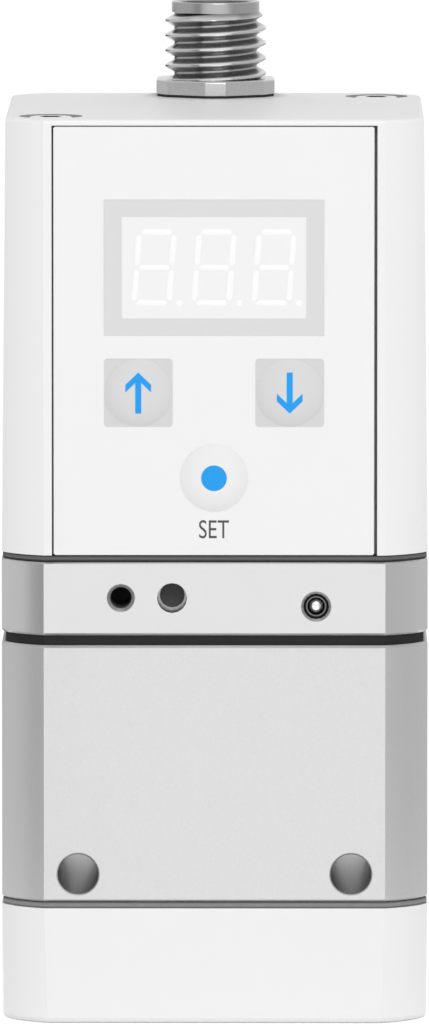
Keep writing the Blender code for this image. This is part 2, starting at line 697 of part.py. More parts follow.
def make_regulator_body():
    body = finish_piece(
        new_object("regulator_body", metal_layer(BODY_BOTTOM, BODY_TOP)), (0.72, 0.72, 0.73), 0.55, 1.0
    )
    lip_radius = SEAT_HOLE_RADIUS + SEAT_LIP_WIDTH
    valve_bore = [
        (0.0, BODY_TOP + CUT_MARGIN),
        (PISTON_BORE_RADIUS, BODY_TOP + CUT_MARGIN),
        (PISTON_BORE_RADIUS, PISTON_BORE_BOTTOM),
        (STEM_HOLE_RADIUS, PISTON_BORE_BOTTOM),
        (STEM_HOLE_RADIUS, PORT_Z),
        (SEAT_HOLE_RADIUS, PORT_Z),
        (SEAT_HOLE_RADIUS, SEAT_HEIGHT),
        (lip_radius, SEAT_HEIGHT),
        (lip_radius + SEAT_LIP_HEIGHT / 2, SUPPLY_CHAMBER_TOP),
        (SUPPLY_CHAMBER_RADIUS, SUPPLY_CHAMBER_TOP),
        (SUPPLY_CHAMBER_RADIUS, BODY_BOTTOM - CUT_MARGIN),
        (0.0, BODY_BOTTOM - CUT_MARGIN),
    ]
    cut(body, turned_cutter("valve_bore", valve_bore, steps=FINE))

    ports = {
        "supply_port": ((PORT_DEPTH - HALF_WIDTH, 0.0), (-HALF_WIDTH, 0.0)),
        "outlet_port": ((HALF_WIDTH - PORT_DEPTH, 0.0), (HALF_WIDTH, 0.0)),
        "exhaust_port": ((0.0, HALF_DEPTH - PORT_DEPTH), (0.0, HALF_DEPTH)),
    }
    for name, (end, mouth) in ports.items():
        port = chamfered_hole(
            name,
            (*end, PORT_Z),
            (*mouth, PORT_Z),
            PORT_RADIUS,
            PORT_RADIUS + PORT_CHAMFER,
            FINE,
        )
        cut(body, port)
    outlet = rod(
        (-OUTLET_DRILL_END, 0.0, PORT_Z),
        (HALF_WIDTH - PORT_DEPTH + CUT_MARGIN, 0.0, PORT_Z),
        OUTLET_DRILL_RADIUS,
    )
    supply_end = Vector((PORT_DEPTH - HALF_WIDTH + CUT_MARGIN / 2, 0.0, PORT_Z))
    chamber_point = (-SUPPLY_CHAMBER_RADIUS / 2, 0.0, SUPPLY_CHAMBER_TOP - SUPPLY_DRILL_RADIUS * 2)
    supply = rod(supply_end, chamber_point, SUPPLY_DRILL_RADIUS)
    exhaust = rod(
        (0.0, EXHAUST_DRILL_Y, BODY_BOTTOM - CUT_MARGIN),
        (0.0, EXHAUST_DRILL_Y, PORT_Z),
        EXHAUST_DRILL_RADIUS,
    )
    for name, drill in (("outlet", outlet), ("supply", supply), ("exhaust", exhaust)):
        cut(body, cutter(f"{name}_drill", drill))
    drill_base_screw_holes(body, BODY_BOTTOM - CUT_MARGIN, BODY_TOP + CUT_MARGIN)

    mouth_radius = MOUNT_HOLE_RADIUS + MOUNT_HOLE_CHAMFER
    mounting_hole = [
        (0.0, HALF_DEPTH + CUT_MARGIN),
        (mouth_radius + CUT_MARGIN, HALF_DEPTH + CUT_MARGIN),
        (MOUNT_HOLE_RADIUS, HALF_DEPTH - MOUNT_HOLE_CHAMFER),
        (MOUNT_HOLE_RADIUS, MOUNT_HOLE_CHAMFER - HALF_DEPTH),
        (mouth_radius + CUT_MARGIN, -HALF_DEPTH - CUT_MARGIN),
        (0.0, -HALF_DEPTH - CUT_MARGIN),
    ]
    for side, x in (("left", -MOUNT_HOLE_X), ("right", MOUNT_HOLE_X)):
        place = facing_front(x, 0.0, MOUNT_HOLE_Z)
        cut(body, turned_cutter(f"mounting_hole_{side}", mounting_hole, place, FINE))

    for name, (x, y) in signal_places().items():
        signal = rod((x, y, PORT_Z), (x, y, BODY_TOP + CUT_MARGIN), SIGNAL_DRILL_RADIUS, SMALL)
        cut(body, cutter(f"{name}_signal_drill", signal))


def make_body_gasket():
    outline = plan_outline(HALF_WIDTH, HALF_DEPTH, inset=BODY_GASKET_SETBACK)
    shape = slab(BODY_TOP + LAYER_GAP, PILOT_BOTTOM - LAYER_GAP, outline)
    gasket = finish_piece(new_object("body_gasket", shape), (0.03, 0.03, 0.03), 0.6)
    low = BODY_TOP - CUT_MARGIN
    high = PILOT_BOTTOM + CUT_MARGIN
    opening = rod((0.0, 0.0, low), (0.0, 0.0, high), PISTON_BORE_RADIUS + BODY_GASKET_MARGIN, FINE)
    cut(gasket, cutter("body_gasket_opening", opening))
    drill_base_screw_holes(gasket, low, high)
    for name, (x, y) in signal_places().items():
        hole = rod((x, y, low), (x, y, high), SIGNAL_DRILL_RADIUS, SMALL)
        cut(gasket, cutter(f"body_gasket_{name}_hole", hole))


def make_poppet_group():
    """Poppet, its seal and spring, and the guide that closes the supply chamber."""
    rim_inner = POPPET_DISC_RADIUS - POPPET_RIM_WIDTH
    tail_bottom = GUIDE_BOTTOM + POPPET_TRAVEL + REST_GAP
    poppet = turned(
        "main_poppet",
        [
            (POPPET_BORE_RADIUS, POPPET_TOP),
            (POPPET_NECK_RADIUS, POPPET_TOP),
            (POPPET_NECK_RADIUS, DISC_TOP),
            (rim_inner, DISC_TOP),
            (rim_inner, DISC_TOP + POPPET_RIM_HEIGHT),
            (POPPET_DISC_RADIUS, DISC_TOP + POPPET_RIM_HEIGHT),
            (POPPET_DISC_RADIUS, DISC_BOTTOM),
            (POPPET_TAIL_RADIUS, DISC_BOTTOM),
            (POPPET_TAIL_RADIUS, tail_bottom),
            (POPPET_BORE_RADIUS, tail_bottom),
        ],
        ring=True,
    )
    finish_piece(poppet, (0.78, 0.62, 0.36), 0.3, 1.0)

    seal = turned(
        "poppet_seal",
        [
            (POPPET_NECK_RADIUS + LAYER_GAP, POPPET_SEAL_TOP),
            (rim_inner - LAYER_GAP, POPPET_SEAL_TOP),
            (rim_inner - LAYER_GAP, POPPET_SEAL_BOTTOM),
            (POPPET_NECK_RADIUS + LAYER_GAP, POPPET_SEAL_BOTTOM),
        ],
        ring=True,
    )
    finish_piece(seal, (0.04, 0.04, 0.04), 0.6)

    guide_radius = SUPPLY_CHAMBER_RADIUS - FIT_GAP
    groove_radius = guide_radius - GUIDE_GROOVE_DEPTH
    groove_top = GUIDE_BOTTOM + (GUIDE_HEIGHT + GUIDE_GROOVE_HEIGHT) / 2
    groove_bottom = groove_top - GUIDE_GROOVE_HEIGHT
    guide = turned(
        "poppet_guide",
        [
            (POPPET_TAIL_RADIUS + FIT_GAP, GUIDE_TOP),
            (guide_radius, GUIDE_TOP),
            (guide_radius, groove_top),
            (groove_radius, groove_top),
            (groove_radius, groove_bottom),
            (guide_radius, groove_bottom),
            (guide_radius, GUIDE_BOTTOM),
            (POPPET_TAIL_RADIUS + FIT_GAP, GUIDE_BOTTOM),
        ],
        steps=FINE,
        ring=True,
    )
    finish_piece(guide, (0.75, 0.60, 0.35), 0.3, 1.0)

    seal_section = (SUPPLY_CHAMBER_RADIUS - groove_radius) / 2 - LAYER_GAP
    seal_centre = (SUPPLY_CHAMBER_RADIUS + groove_radius) / 2
    ring_profile = circle_profile(seal_centre, (groove_top + groove_bottom) / 2, seal_section)
    finish_piece(turned("guide_seal", ring_profile, steps=FINE, ring=True), (0.03, 0.03, 0.03), 0.5)

    make_poppet_spring()


def make_poppet_spring():
    """Coil that pushes the poppet up to its seat."""
    radius = POPPET_TAIL_RADIUS + SPRING_SPACE
    curve = bpy.data.curves.new("poppet_spring", "CURVE")
    curve.dimensions = "3D"
    curve.bevel_depth = SPRING_WIRE_RADIUS
    curve.bevel_resolution = 1
    curve.use_fill_caps = True
    path = curve.splines.new("POLY")
    path.points.add(SPRING_TURNS * SPRING_STEPS)
    for step, point in enumerate(path.points):
        turns = step / SPRING_STEPS
        height = SPRING_BOTTOM + SPRING_WIRE_RADIUS + SPRING_PITCH * turns
        point.co = (radius * cos(tau * turns), radius * sin(tau * turns), height, 1.0)
    spring = bpy.data.objects.new("poppet_spring", curve)
    finish_piece(spring, (0.6, 0.6, 0.62), 0.25, 1.0)


def make_control_piston():
    """Piston that the control pressure pushes down, with the stem that opens the poppet."""
    radius = PISTON_BORE_RADIUS - FIT_GAP * 2
    stem_radius = STEM_HOLE_RADIUS - FIT_GAP * 2
    groove_radius = radius - PISTON_GROOVE_DEPTH
    seal_section = (PISTON_BORE_RADIUS - groove_radius) / 2 - LAYER_GAP
    seal_height = (PISTON_TOP + PISTON_BOTTOM) / 2
    groove_half = seal_section + FIT_GAP
    piston = turned(
        "control_piston",
        [
            (0.0, PISTON_TOP),
            (radius, PISTON_TOP),
            (radius, seal_height + groove_half),
            (groove_radius, seal_height + groove_half),
            (groove_radius, seal_height - groove_half),
            (radius, seal_height - groove_half),
            (radius, PISTON_BOTTOM),
            (PISTON_BOSS_RADIUS, PISTON_BOTTOM),
            (PISTON_BOSS_RADIUS, PISTON_BOSS_BOTTOM),
            (stem_radius, PISTON_BOSS_BOTTOM),
            (stem_radius, POPPET_TOP + LAYER_GAP),
            (0.0, POPPET_TOP + LAYER_GAP),
        ],
        steps=FINE,
    )
    finish_piece(piston, (0.70, 0.70, 0.71), 0.35, 1.0)
    ring_profile = circle_profile((PISTON_BORE_RADIUS + groove_radius) / 2, seal_height, seal_section)
    finish_piece(turned("piston_seal", ring_profile, steps=FINE, ring=True), (0.03, 0.03, 0.03), 0.5)


def make_pilot_block():
    pilot = finish_piece(
        new_object("pilot_block", metal_layer(PILOT_BOTTOM, PILOT_TOP)), (0.78, 0.78, 0.79), 0.3, 1.0
    )
    recess = rod(
        (0.0, 0.0, PILOT_BOTTOM - CUT_MARGIN),
        (0.0, 0.0, PILOT_BOTTOM + CONTROL_RECESS_DEPTH),
        PISTON_BORE_RADIUS - CONTROL_RECESS_SETBACK,
        FINE,
    )
    cut(pilot, cutter("control_recess", recess))

    tapped = chamfered_hole(
        "front_tapped_hole",
        (TAPPED_HOLE_X, FRONT_Y + TAPPED_HOLE_DEPTH, FRONT_HOLES_Z),
        (TAPPED_HOLE_X, FRONT_Y, FRONT_HOLES_Z),
        TAPPED_HOLE_RADIUS,
        TAPPED_HOLE_RADIUS + TAPPED_HOLE_CHAMFER,
    )
    filter_front = FRONT_Y + VENT_HOLE_DEPTH
    filter_back = filter_front + VENT_FILTER_THICKNESS + LAYER_GAP
    vent_steps = [
        (FRONT_Y - CUT_MARGIN, filter_front, VENT_HOLE_RADIUS),
        (filter_front - CUT_MARGIN, filter_back, VENT_FILTER_RADIUS + LAYER_GAP),
        (filter_back - CUT_MARGIN, VALVE_Y, VENT_AIRWAY_RADIUS),
    ]
    for number, (near, far, radius) in enumerate(vent_steps, start=1):
        bore = rod((VENT_X, near, FRONT_HOLES_Z), (VENT_X, far, FRONT_HOLES_Z), radius)
        cut(pilot, cutter(f"vent_bore_{number}", bore))
    plug_height = FRONT_HOLES_Z - PLUG_DROP
    plug = chamfered_hole(
        "plug_hole",
        (PLUG_X, FRONT_Y + PLUG_SLEEVE_SETBACK + PLUG_SLEEVE_LENGTH + FIT_GAP, plug_height),
        (PLUG_X, FRONT_Y, plug_height),
        PLUG_HOLE_RADIUS,
        PLUG_HOLE_RADIUS + PLUG_HOLE_CHAMFER,
    )
    cut(pilot, tapped, plug)

    high = PILOT_TOP + CUT_MARGIN
    low = PILOT_BOTTOM - CUT_MARGIN
    airways = {
        "supply_airway": (-SIGNAL_DRILL_X, VALVE_Y, low),
        "supply_outlet_airway": (SUPPLY_VALVE_X + VALVE_AIRWAY_OFFSET, VALVE_Y, low),
        "exhaust_inlet_airway": (EXHAUST_VALVE_X + VALVE_AIRWAY_OFFSET, VALVE_Y, low),
        "exhaust_airway": (VENT_X, VALVE_Y - VENT_AIRWAY_RADIUS, FRONT_HOLES_Z),
        "sensor_airway": (SIGNAL_DRILL_X, 0.0, low),
    }
    for name, (x, y, bottom) in airways.items():
        cut(pilot, cutter(name, rod((x, y, bottom), (x, y, high), VENT_AIRWAY_RADIUS, SMALL)))
    stub_end = PILOT_TOP - SENSOR_STUB_LENGTH - FIT_GAP
    stub_hole = rod(
        (SIGNAL_DRILL_X, 0.0, stub_end), (SIGNAL_DRILL_X, 0.0, high), SENSOR_STUB_RADIUS + FIT_GAP, SMALL
    )
    cut(pilot, cutter("sensor_stub_hole", stub_hole))
    drill_base_screw_holes(pilot, low, PILOT_BOTTOM + BASE_SCREW_REACH + REST_GAP)
    for name, (x, y) in cover_screw_places().items():
        hole = rod((x, y, PILOT_TOP - COVER_SCREW_REACH - REST_GAP), (x, y, high), COVER_SCREW_HOLE)
        cut(pilot, cutter(f"pilot_cover_screw_hole_{name}", hole))

    disc = turned(
        "vent_filter",
        [
            (0.0, 0.0),
            (VENT_FILTER_RADIUS, 0.0),
            (VENT_FILTER_RADIUS, -VENT_FILTER_THICKNESS),
            (0.0, -VENT_FILTER_THICKNESS),
        ],
        facing_front(VENT_X, filter_front, FRONT_HOLES_Z),
    )
    finish_piece(disc, (0.12, 0.12, 0.12), 0.9)

    sleeve_outer = PLUG_HOLE_RADIUS - LAYER_GAP
    sleeve_inner = PLUG_BALL_RADIUS + LAYER_GAP
    sleeve_floor = -PLUG_BALL_RADIUS * 2 - FIT_GAP * 2
    sleeve_place = facing_front(PLUG_X, FRONT_Y + PLUG_SLEEVE_SETBACK, plug_height)
    sleeve = turned(
        "sealing_sleeve",
        [
            (sleeve_inner, 0.0),
            (sleeve_outer, 0.0),
            (sleeve_outer, -PLUG_SLEEVE_LENGTH),
            (0.0, -PLUG_SLEEVE_LENGTH),
            (0.0, sleeve_floor),
            (sleeve_inner, sleeve_floor),
        ],
        sleeve_place,
        ring=True,
    )
    finish_piece(sleeve, (0.09, 0.09, 0.09), 0.4)
    ball_shape = bmesh.new()
    ball_centre = at(PLUG_X, FRONT_Y + PLUG_SLEEVE_SETBACK + PLUG_BALL_RADIUS + LAYER_GAP, plug_height)
    bmesh.ops.create_uvsphere(
        ball_shape,
        u_segments=SMALL,
        v_segments=SMALL,
        radius=PLUG_BALL_RADIUS,
        matrix=ball_centre @ AXIS_Y,
    )
    finish_piece(new_object("sealing_ball", ball_shape), (0.7, 0.7, 0.72), 0.15, 1.0)


def make_cover_gasket():
    outline = plan_outline(HALF_WIDTH, HALF_DEPTH, inset=COVER_GASKET_SETBACK)
    shape = slab(PILOT_TOP + LAYER_GAP, COVER_BOTTOM - LAYER_GAP, outline)
    gasket = finish_piece(new_object("cover_gasket", shape), (0.22, 0.22, 0.22), 0.7)
    opening = plan_outline(HALF_WIDTH, HALF_DEPTH, inset=COVER_GASKET_SETBACK + COVER_GASKET_LAND)
    space = slab(PILOT_TOP - CUT_MARGIN, COVER_BOTTOM + CUT_MARGIN, opening)
    cut(gasket, cutter("cover_gasket_opening", space))


def make_electronics_cover():
    top_half_width = HALF_WIDTH - COVER_NARROWING
    top_corner = CORNER_CUT - COVER_NARROWING
    outlines = [(COVER_BOTTOM, plan_outline(HALF_WIDTH, HALF_DEPTH))]
    for drop, inset in reversed(rounded_rise(COVER_EDGE)):
        points = plan_outline(top_half_width, HALF_DEPTH, top_corner, inset=inset)
        outlines.append((COVER_TOP - drop, points))
    cover = finish_piece(new_object("electronics_cover", loft(outlines)), (0.90, 0.90, 0.89), 0.3)

    boss = rod(
        (0.0, CONNECTOR_Y, COVER_TOP - LAYER_GAP),
        (0.0, CONNECTOR_Y, BOSS_TOP),
        BOSS_BASE_RADIUS,
        FINE,
        BOSS_TOP_RADIUS,
    )
    join(cover, cutter("connector_boss", boss))

    half_cavity_depth = (COVER_INNER_REAR_Y - COVER_INNER_FRONT_Y) / 2
    cavity_y = (COVER_INNER_REAR_Y + COVER_INNER_FRONT_Y) / 2
    cavity = []
    levels = ((COVER_BOTTOM - CUT_MARGIN, HALF_WIDTH), (COVER_TOP - COVER_WALL, top_half_width))
    for height, half_width in levels:
        inner = half_width - COVER_WALL
        points = plan_outline(inner, half_cavity_depth, COVER_CAVITY_CORNER, COVER_CAVITY_RADIUS)
        cavity.append((height, [(x, y + cavity_y) for x, y in points]))
    cut(cover, cutter("cover_cavity", loft(cavity)))

    opening = box_between(
        (LEDGE_WIDTH - RECESS_HALF_WIDTH, FRONT_Y, COVER_BOTTOM + LEDGE_HEIGHT),
        (RECESS_HALF_WIDTH - LEDGE_WIDTH, COVER_INNER_FRONT_Y + CUT_MARGIN, RECESS_TOP - LEDGE_HEIGHT),
    )
    cut(cover, cutter("panel_opening", opening))

    for name, (x, y) in cover_screw_places().items():
        column = rod((x, y, COVER_BOTTOM), (x, y, COVER_TOP - COVER_WALL / 2), COLUMN_RADIUS)
        join(cover, cutter(f"screw_column_{name}", column))
        hole = rod((x, y, COVER_BOTTOM - CUT_MARGIN), (x, y, COVER_TOP + CUT_MARGIN), COVER_SCREW_HOLE)
        sink_bottom = COVER_TOP - COVER_HEAD_HEIGHT - REST_GAP
        sink = rod((x, y, sink_bottom), (x, y, COVER_TOP + CUT_MARGIN), COVER_SINK_RADIUS)
        cut(cover, cutter(f"cover_screw_hole_{name}", hole), cutter(f"cover_screw_sink_{name}", sink))
    recess = box_between(
        (-RECESS_HALF_WIDTH, FRONT_Y - CUT_MARGIN, COVER_BOTTOM - CUT_MARGIN),
        (RECESS_HALF_WIDTH, RECESS_BACK_Y, RECESS_TOP),
    )
    cut(cover, cutter("panel_recess", recess))
    connector_hole = rod(
        (0.0, CONNECTOR_Y, COVER_TOP - COVER_WALL - CUT_MARGIN),
        (0.0, CONNECTOR_Y, BOSS_TOP + CUT_MARGIN),
        SHELL_TAIL_RADIUS + SCREW_GAP,
        FINE,
    )
    cut(cover, cutter("connector_hole", connector_hole))


def behind_lens(margin, front, back):
    """Block over the lens's outline, grown by a margin, between two depths."""
    half_width = LENS_HALF_WIDTH + margin
    half_height = LENS_HEIGHT / 2 + margin
    return box_between(
        (PANEL_SHIFT - half_width, front, LENS_Z - half_height),
        (PANEL_SHIFT + half_width, back, LENS_Z + half_height),
    )


def make_front_panel():
    shape = box_between(
        (PANEL_SHIFT - PANEL_HALF_WIDTH, PANEL_FRONT_Y, PANEL_BOTTOM),
        (PANEL_SHIFT + PANEL_HALF_WIDTH, PANEL_BACK_Y, PANEL_TOP),
    )
    through = [edge for edge in shape.edges if edge.verts[0].co.y != edge.verts[1].co.y]
    bmesh.ops.bevel(shape, geom=through, offset=PANEL_CORNER, segments=PANEL_CORNER_STEPS, affect="EDGES")
    panel = finish_piece(new_object("front_panel", shape), (0.91, 0.91, 0.91), 0.3)

    front = PANEL_FRONT_Y - CUT_MARGIN
    back = PANEL_BACK_Y + CUT_MARGIN
    cut(panel, cutter("panel_window", behind_lens(FIT_GAP, front, back)))
    for name, (x, z) in button_places().items():
        hole = rod((x, front, z), (x, back, z), BUTTON_RADIUS + BUTTON_CLEARANCE, FINE)
        cut(panel, cutter(f"panel_{name}_hole", hole))
    for number, (x, z) in enumerate(board_screw_places(), start=1):
        end = BOARD_FRONT_Y - FIT_GAP
        post = rod((x, PANEL_BACK_Y - PANEL_THICKNESS / 2, z), (x, end, z), BOARD_POST_RADIUS, SMALL)
        hole = rod((x, end - BOARD_SCREW_BITE, z), (x, end + CUT_MARGIN, z), BOARD_SCREW_HOLE, SMALL)
        join(panel, cutter(f"board_post_{number}", post))
        cut(panel, cutter(f"board_post_hole_{number}", hole))


def make_display():
    flange_front = PANEL_BACK_Y + FIT_GAP
    flange_back = flange_front + LENS_FLANGE_THICKNESS
    lens_shape = behind_lens(0.0, PANEL_FRONT_Y, flange_front)
    lens = finish_piece(new_object("display_lens", lens_shape), (0.78, 0.78, 0.78), 0.2)
    join(lens, cutter("lens_flange", behind_lens(LENS_FLANGE, flange_front, flange_back)))
    module = behind_lens(-DISPLAY_SETBACK, flange_back + FIT_GAP, BOARD_FRONT_Y - FIT_GAP)
    display = finish_piece(new_object("display_module", module), (0.08, 0.08, 0.08), 0.4)
    round_edges(display, DISPLAY_EDGE)


def dome_profile(radius, rise, steps=DOME_STEPS):
    """Points of a shallow dome from its crown down to its edge."""
    sphere_radius = (radius ** 2 + rise ** 2) / (2 * rise)
    points = []
    for step in range(steps + 1):
        along = radius * step / steps
        points.append((along, sqrt(sphere_radius ** 2 - along ** 2) - sphere_radius + rise))
    return points


def make_buttons():
    """Three domed keys, each held by a flange behind the panel, with a switch behind each."""
    colours = {"up": (0.74, 0.74, 0.75), "down": (0.74, 0.74, 0.75), "set": (0.88, 0.88, 0.88)}
    flange_top = -PANEL_THICKNESS - FIT_GAP
    flange_bottom = PANEL_FRONT_Y - BUTTON_BACK_Y
    for name, (x, z) in button_places().items():
        profile = dome_profile(BUTTON_RADIUS, BUTTON_RISE) + [
            (BUTTON_RADIUS, flange_top),
            (BUTTON_FLANGE_RADIUS, flange_top),
            (BUTTON_FLANGE_RADIUS, flange_bottom),
            (0.0, flange_bottom),
        ]
        key = turned(f"{name}_button", profile, facing_front(x, PANEL_FRONT_Y, z), FINE)
        finish_piece(key, colours[name], 0.35)

        half = SWITCH_SIZE / 2
        case_front = SWITCH_BACK_Y - SWITCH_HEIGHT
        case = box_between((x - half, case_front, z - half), (x + half, SWITCH_BACK_Y, z + half))
        switch = finish_piece(new_object(f"{name}_switch", case), (0.10, 0.10, 0.10), 0.5)
        tip = rod((x, SWITCH_TIP_Y, z), (x, case_front + SWITCH_TIP_LENGTH, z), SWITCH_TIP_RADIUS, SMALL)
        join(switch, cutter(f"{name}_switch_tip", tip))


def make_boards():
    board_shape = box_between(
        (PANEL_SHIFT - BOARD_HALF_WIDTH, BOARD_FRONT_Y, BOARD_SCREW_LOW_Z - BOARD_MARGIN),
        (PANEL_SHIFT + BOARD_HALF_WIDTH, BOARD_BACK_Y, BOARD_SCREW_HIGH_Z + BOARD_MARGIN),
    )
    board = finish_piece(new_object("control_board", board_shape), (0.05, 0.26, 0.12), 0.5)
    screw_profile = [
        (0.0, BOARD_HEAD_HEIGHT),
        (BOARD_HEAD_TOP_RADIUS, BOARD_HEAD_HEIGHT),
        (BOARD_HEAD_RADIUS, BOARD_HEAD_HEIGHT / 2),
        (BOARD_HEAD_RADIUS, 0.0),
        (BOARD_SCREW_RADIUS, 0.0),
        (BOARD_SCREW_RADIUS, -BOARD_THICKNESS - BOARD_SCREW_BITE + REST_GAP),
        (0.0, -BOARD_THICKNESS - BOARD_SCREW_BITE + REST_GAP),
    ]
    for number, (x, z) in enumerate(board_screw_places(), start=1):
        front = (x, BOARD_FRONT_Y - CUT_MARGIN, z)
        hole = rod(front, (x, BOARD_BACK_Y + CUT_MARGIN, z), BOARD_SCREW_HOLE, SMALL)
        cut(board, cutter(f"board_hole_{number}", hole))
        place = at(x, BOARD_BACK_Y + FIT_GAP, z) @ AXIS_Y.inverted()
        screw = turned(f"board_screw_{number}", screw_profile, place, SMALL)
        finish_piece(screw, (0.6, 0.6, 0.62), 0.3, 1.0)

    bottom = CONNECTOR_BOARD_TOP - BOARD_THICKNESS
    upper_shape = box_between(
        (-CONNECTOR_BOARD_WIDTH / 2, BOARD_BACK_Y + FIT_GAP, bottom),
        (CONNECTOR_BOARD_WIDTH / 2, CONNECTOR_Y + CONNECTOR_BOARD_REACH, CONNECTOR_BOARD_TOP),
    )
    upper = finish_piece(new_object("connector_board", upper_shape), (0.05, 0.26, 0.12), 0.5)
    for number, (x, y) in enumerate(pin_places(), start=1):
        hole = rod(
            (x, y, bottom - CUT_MARGIN),
            (x, y, CONNECTOR_BOARD_TOP + CUT_MARGIN),
            PIN_RADIUS + FIT_GAP,
            SMALL,
        )
        cut(upper, cutter(f"connector_board_hole_{number}", hole))


def make_connector():
    """Round connector: shell, insert with four pins, seal under the collar and nut inside."""
    collar_bottom = BOSS_TOP + LAYER_GAP
    collar_top = collar_bottom + COLLAR_HEIGHT
    thread_top = RIM_TOP - RIM_HEIGHT - RIM_STEP
    lip_top = SHELL_BOTTOM + SHELL_LIP_HEIGHT
    lip_radius = SOCKET_BORE_RADIUS - SHELL_LIP_WIDTH
    seal_inner = SHELL_TAIL_RADIUS + SCREW_GAP
    groove_radius = seal_inner + CONNECTOR_SEAL_RADIUS * 2 + FIT_GAP
    groove_top = collar_bottom + CONNECTOR_SEAL_RADIUS * 2 + FIT_GAP
    centre = at(0.0, CONNECTOR_Y, 0.0)
    shell = turned(
        "connector_shell",
        [
            (SOCKET_BORE_RADIUS, RIM_TOP),
            (RIM_RADIUS, RIM_TOP),
            (RIM_RADIUS, RIM_TOP - RIM_HEIGHT),
            (THREAD_RADIUS, thread_top),
            (THREAD_RADIUS, collar_top - FIT_GAP),
            (SHELL_TAIL_RADIUS, collar_top - FIT_GAP),
            (SHELL_TAIL_RADIUS, SHELL_BOTTOM),
            (lip_radius, SHELL_BOTTOM),
            (lip_radius, lip_top),
            (SOCKET_BORE_RADIUS, lip_top),
        ],
        centre,
        FINE,
        ring=True,
    )
    finish_piece(shell, (0.60, 0.60, 0.61), 0.25, 1.0)
    hexagon = prism(6, COLLAR_HALF_FLATS * 2, collar_bottom, collar_top, (0.0, CONNECTOR_Y), pi / 2)
    collar = cutter("connector_collar", hexagon)
    low = (0.0, CONNECTOR_Y, collar_bottom - CUT_MARGIN)
    high = (0.0, CONNECTOR_Y, collar_top + CUT_MARGIN)
    combine(collar, cutter("collar_corner_trim", rod(low, high, COLLAR_CORNER_RADIUS, FINE)), "INTERSECT")
    core = rod(low, high, (SOCKET_BORE_RADIUS + SHELL_TAIL_RADIUS) / 2, FINE)
    groove = rod(low, (0.0, CONNECTOR_Y, groove_top), groove_radius, FINE)
    cut(collar, cutter("collar_core", core), cutter("collar_seal_groove", groove))
    join(shell, collar)

    seal_radius = CONNECTOR_SEAL_RADIUS
    seal_profile = circle_profile(seal_inner + seal_radius, collar_bottom + seal_radius, seal_radius)
    finish_piece(turned("connector_seal", seal_profile, centre, FINE, ring=True), (0.03, 0.03, 0.03), 0.5)

    nut_top = COVER_TOP - COVER_WALL - FIT_GAP
    nut_bottom = nut_top - CONNECTOR_NUT_HEIGHT
    nut_flats = (COLLAR_HALF_FLATS + CONNECTOR_NUT_WIDENING) * 2
    nut_shape = prism(6, nut_flats, nut_bottom, nut_top, (0.0, CONNECTOR_Y), pi / 2)
    nut = finish_piece(new_object("connector_nut", nut_shape), (0.65, 0.65, 0.66), 0.3, 1.0)
    nut_hole = rod(
        (0.0, CONNECTOR_Y, nut_bottom - CUT_MARGIN),
        (0.0, CONNECTOR_Y, nut_top + CUT_MARGIN),
        SHELL_TAIL_RADIUS + FIT_GAP,
        FINE,
    )
    cut(nut, cutter("connector_nut_hole", nut_hole))

    insert_top = RIM_TOP - INSERT_TOP_DEPTH
    insert_radius = SOCKET_BORE_RADIUS - LAYER_GAP
    insert_bottom = lip_top + LAYER_GAP
    top_centre = (0.0, CONNECTOR_Y, insert_top)
    insert_shape = rod((0.0, CONNECTOR_Y, insert_bottom), top_centre, insert_radius, FINE)
    insert = finish_piece(new_object("connector_insert", insert_shape), (0.05, 0.05, 0.05), 0.5)
    key_back = CONNECTOR_Y + insert_radius - REST_GAP
    key = box_between(
        (-KEY_WIDTH / 2, key_back - KEY_THICKNESS, insert_top - KEY_THICKNESS),
        (KEY_WIDTH / 2, key_back, insert_top + KEY_HEIGHT),
    )
    join(insert, cutter("coding_key", key))

    pin_bottom = CONNECTOR_BOARD_TOP - BOARD_THICKNESS - REST_GAP
    pin_top = RIM_TOP - PIN_TOP_DEPTH
    pin_profile = [
        (0.0, pin_top),
        (PIN_TIP_RADIUS, pin_top),
        (PIN_RADIUS, pin_top - PIN_RADIUS),
        (PIN_RADIUS, pin_bottom),
        (0.0, pin_bottom),
    ]
    for number, (x, y) in enumerate(pin_places(), start=1):
        bottom = (x, y, insert_bottom - CUT_MARGIN)
        hole = rod(bottom, (x, y, insert_top + CUT_MARGIN), PIN_RADIUS + LAYER_GAP, SMALL)
        cut(insert, cutter(f"insert_pin_hole_{number}", hole))
        pin = turned(f"connector_pin_{number}", pin_profile, at(x, y, 0.0), SMALL)
        finish_piece(pin, (0.85, 0.68, 0.35), 0.25, 1.0)


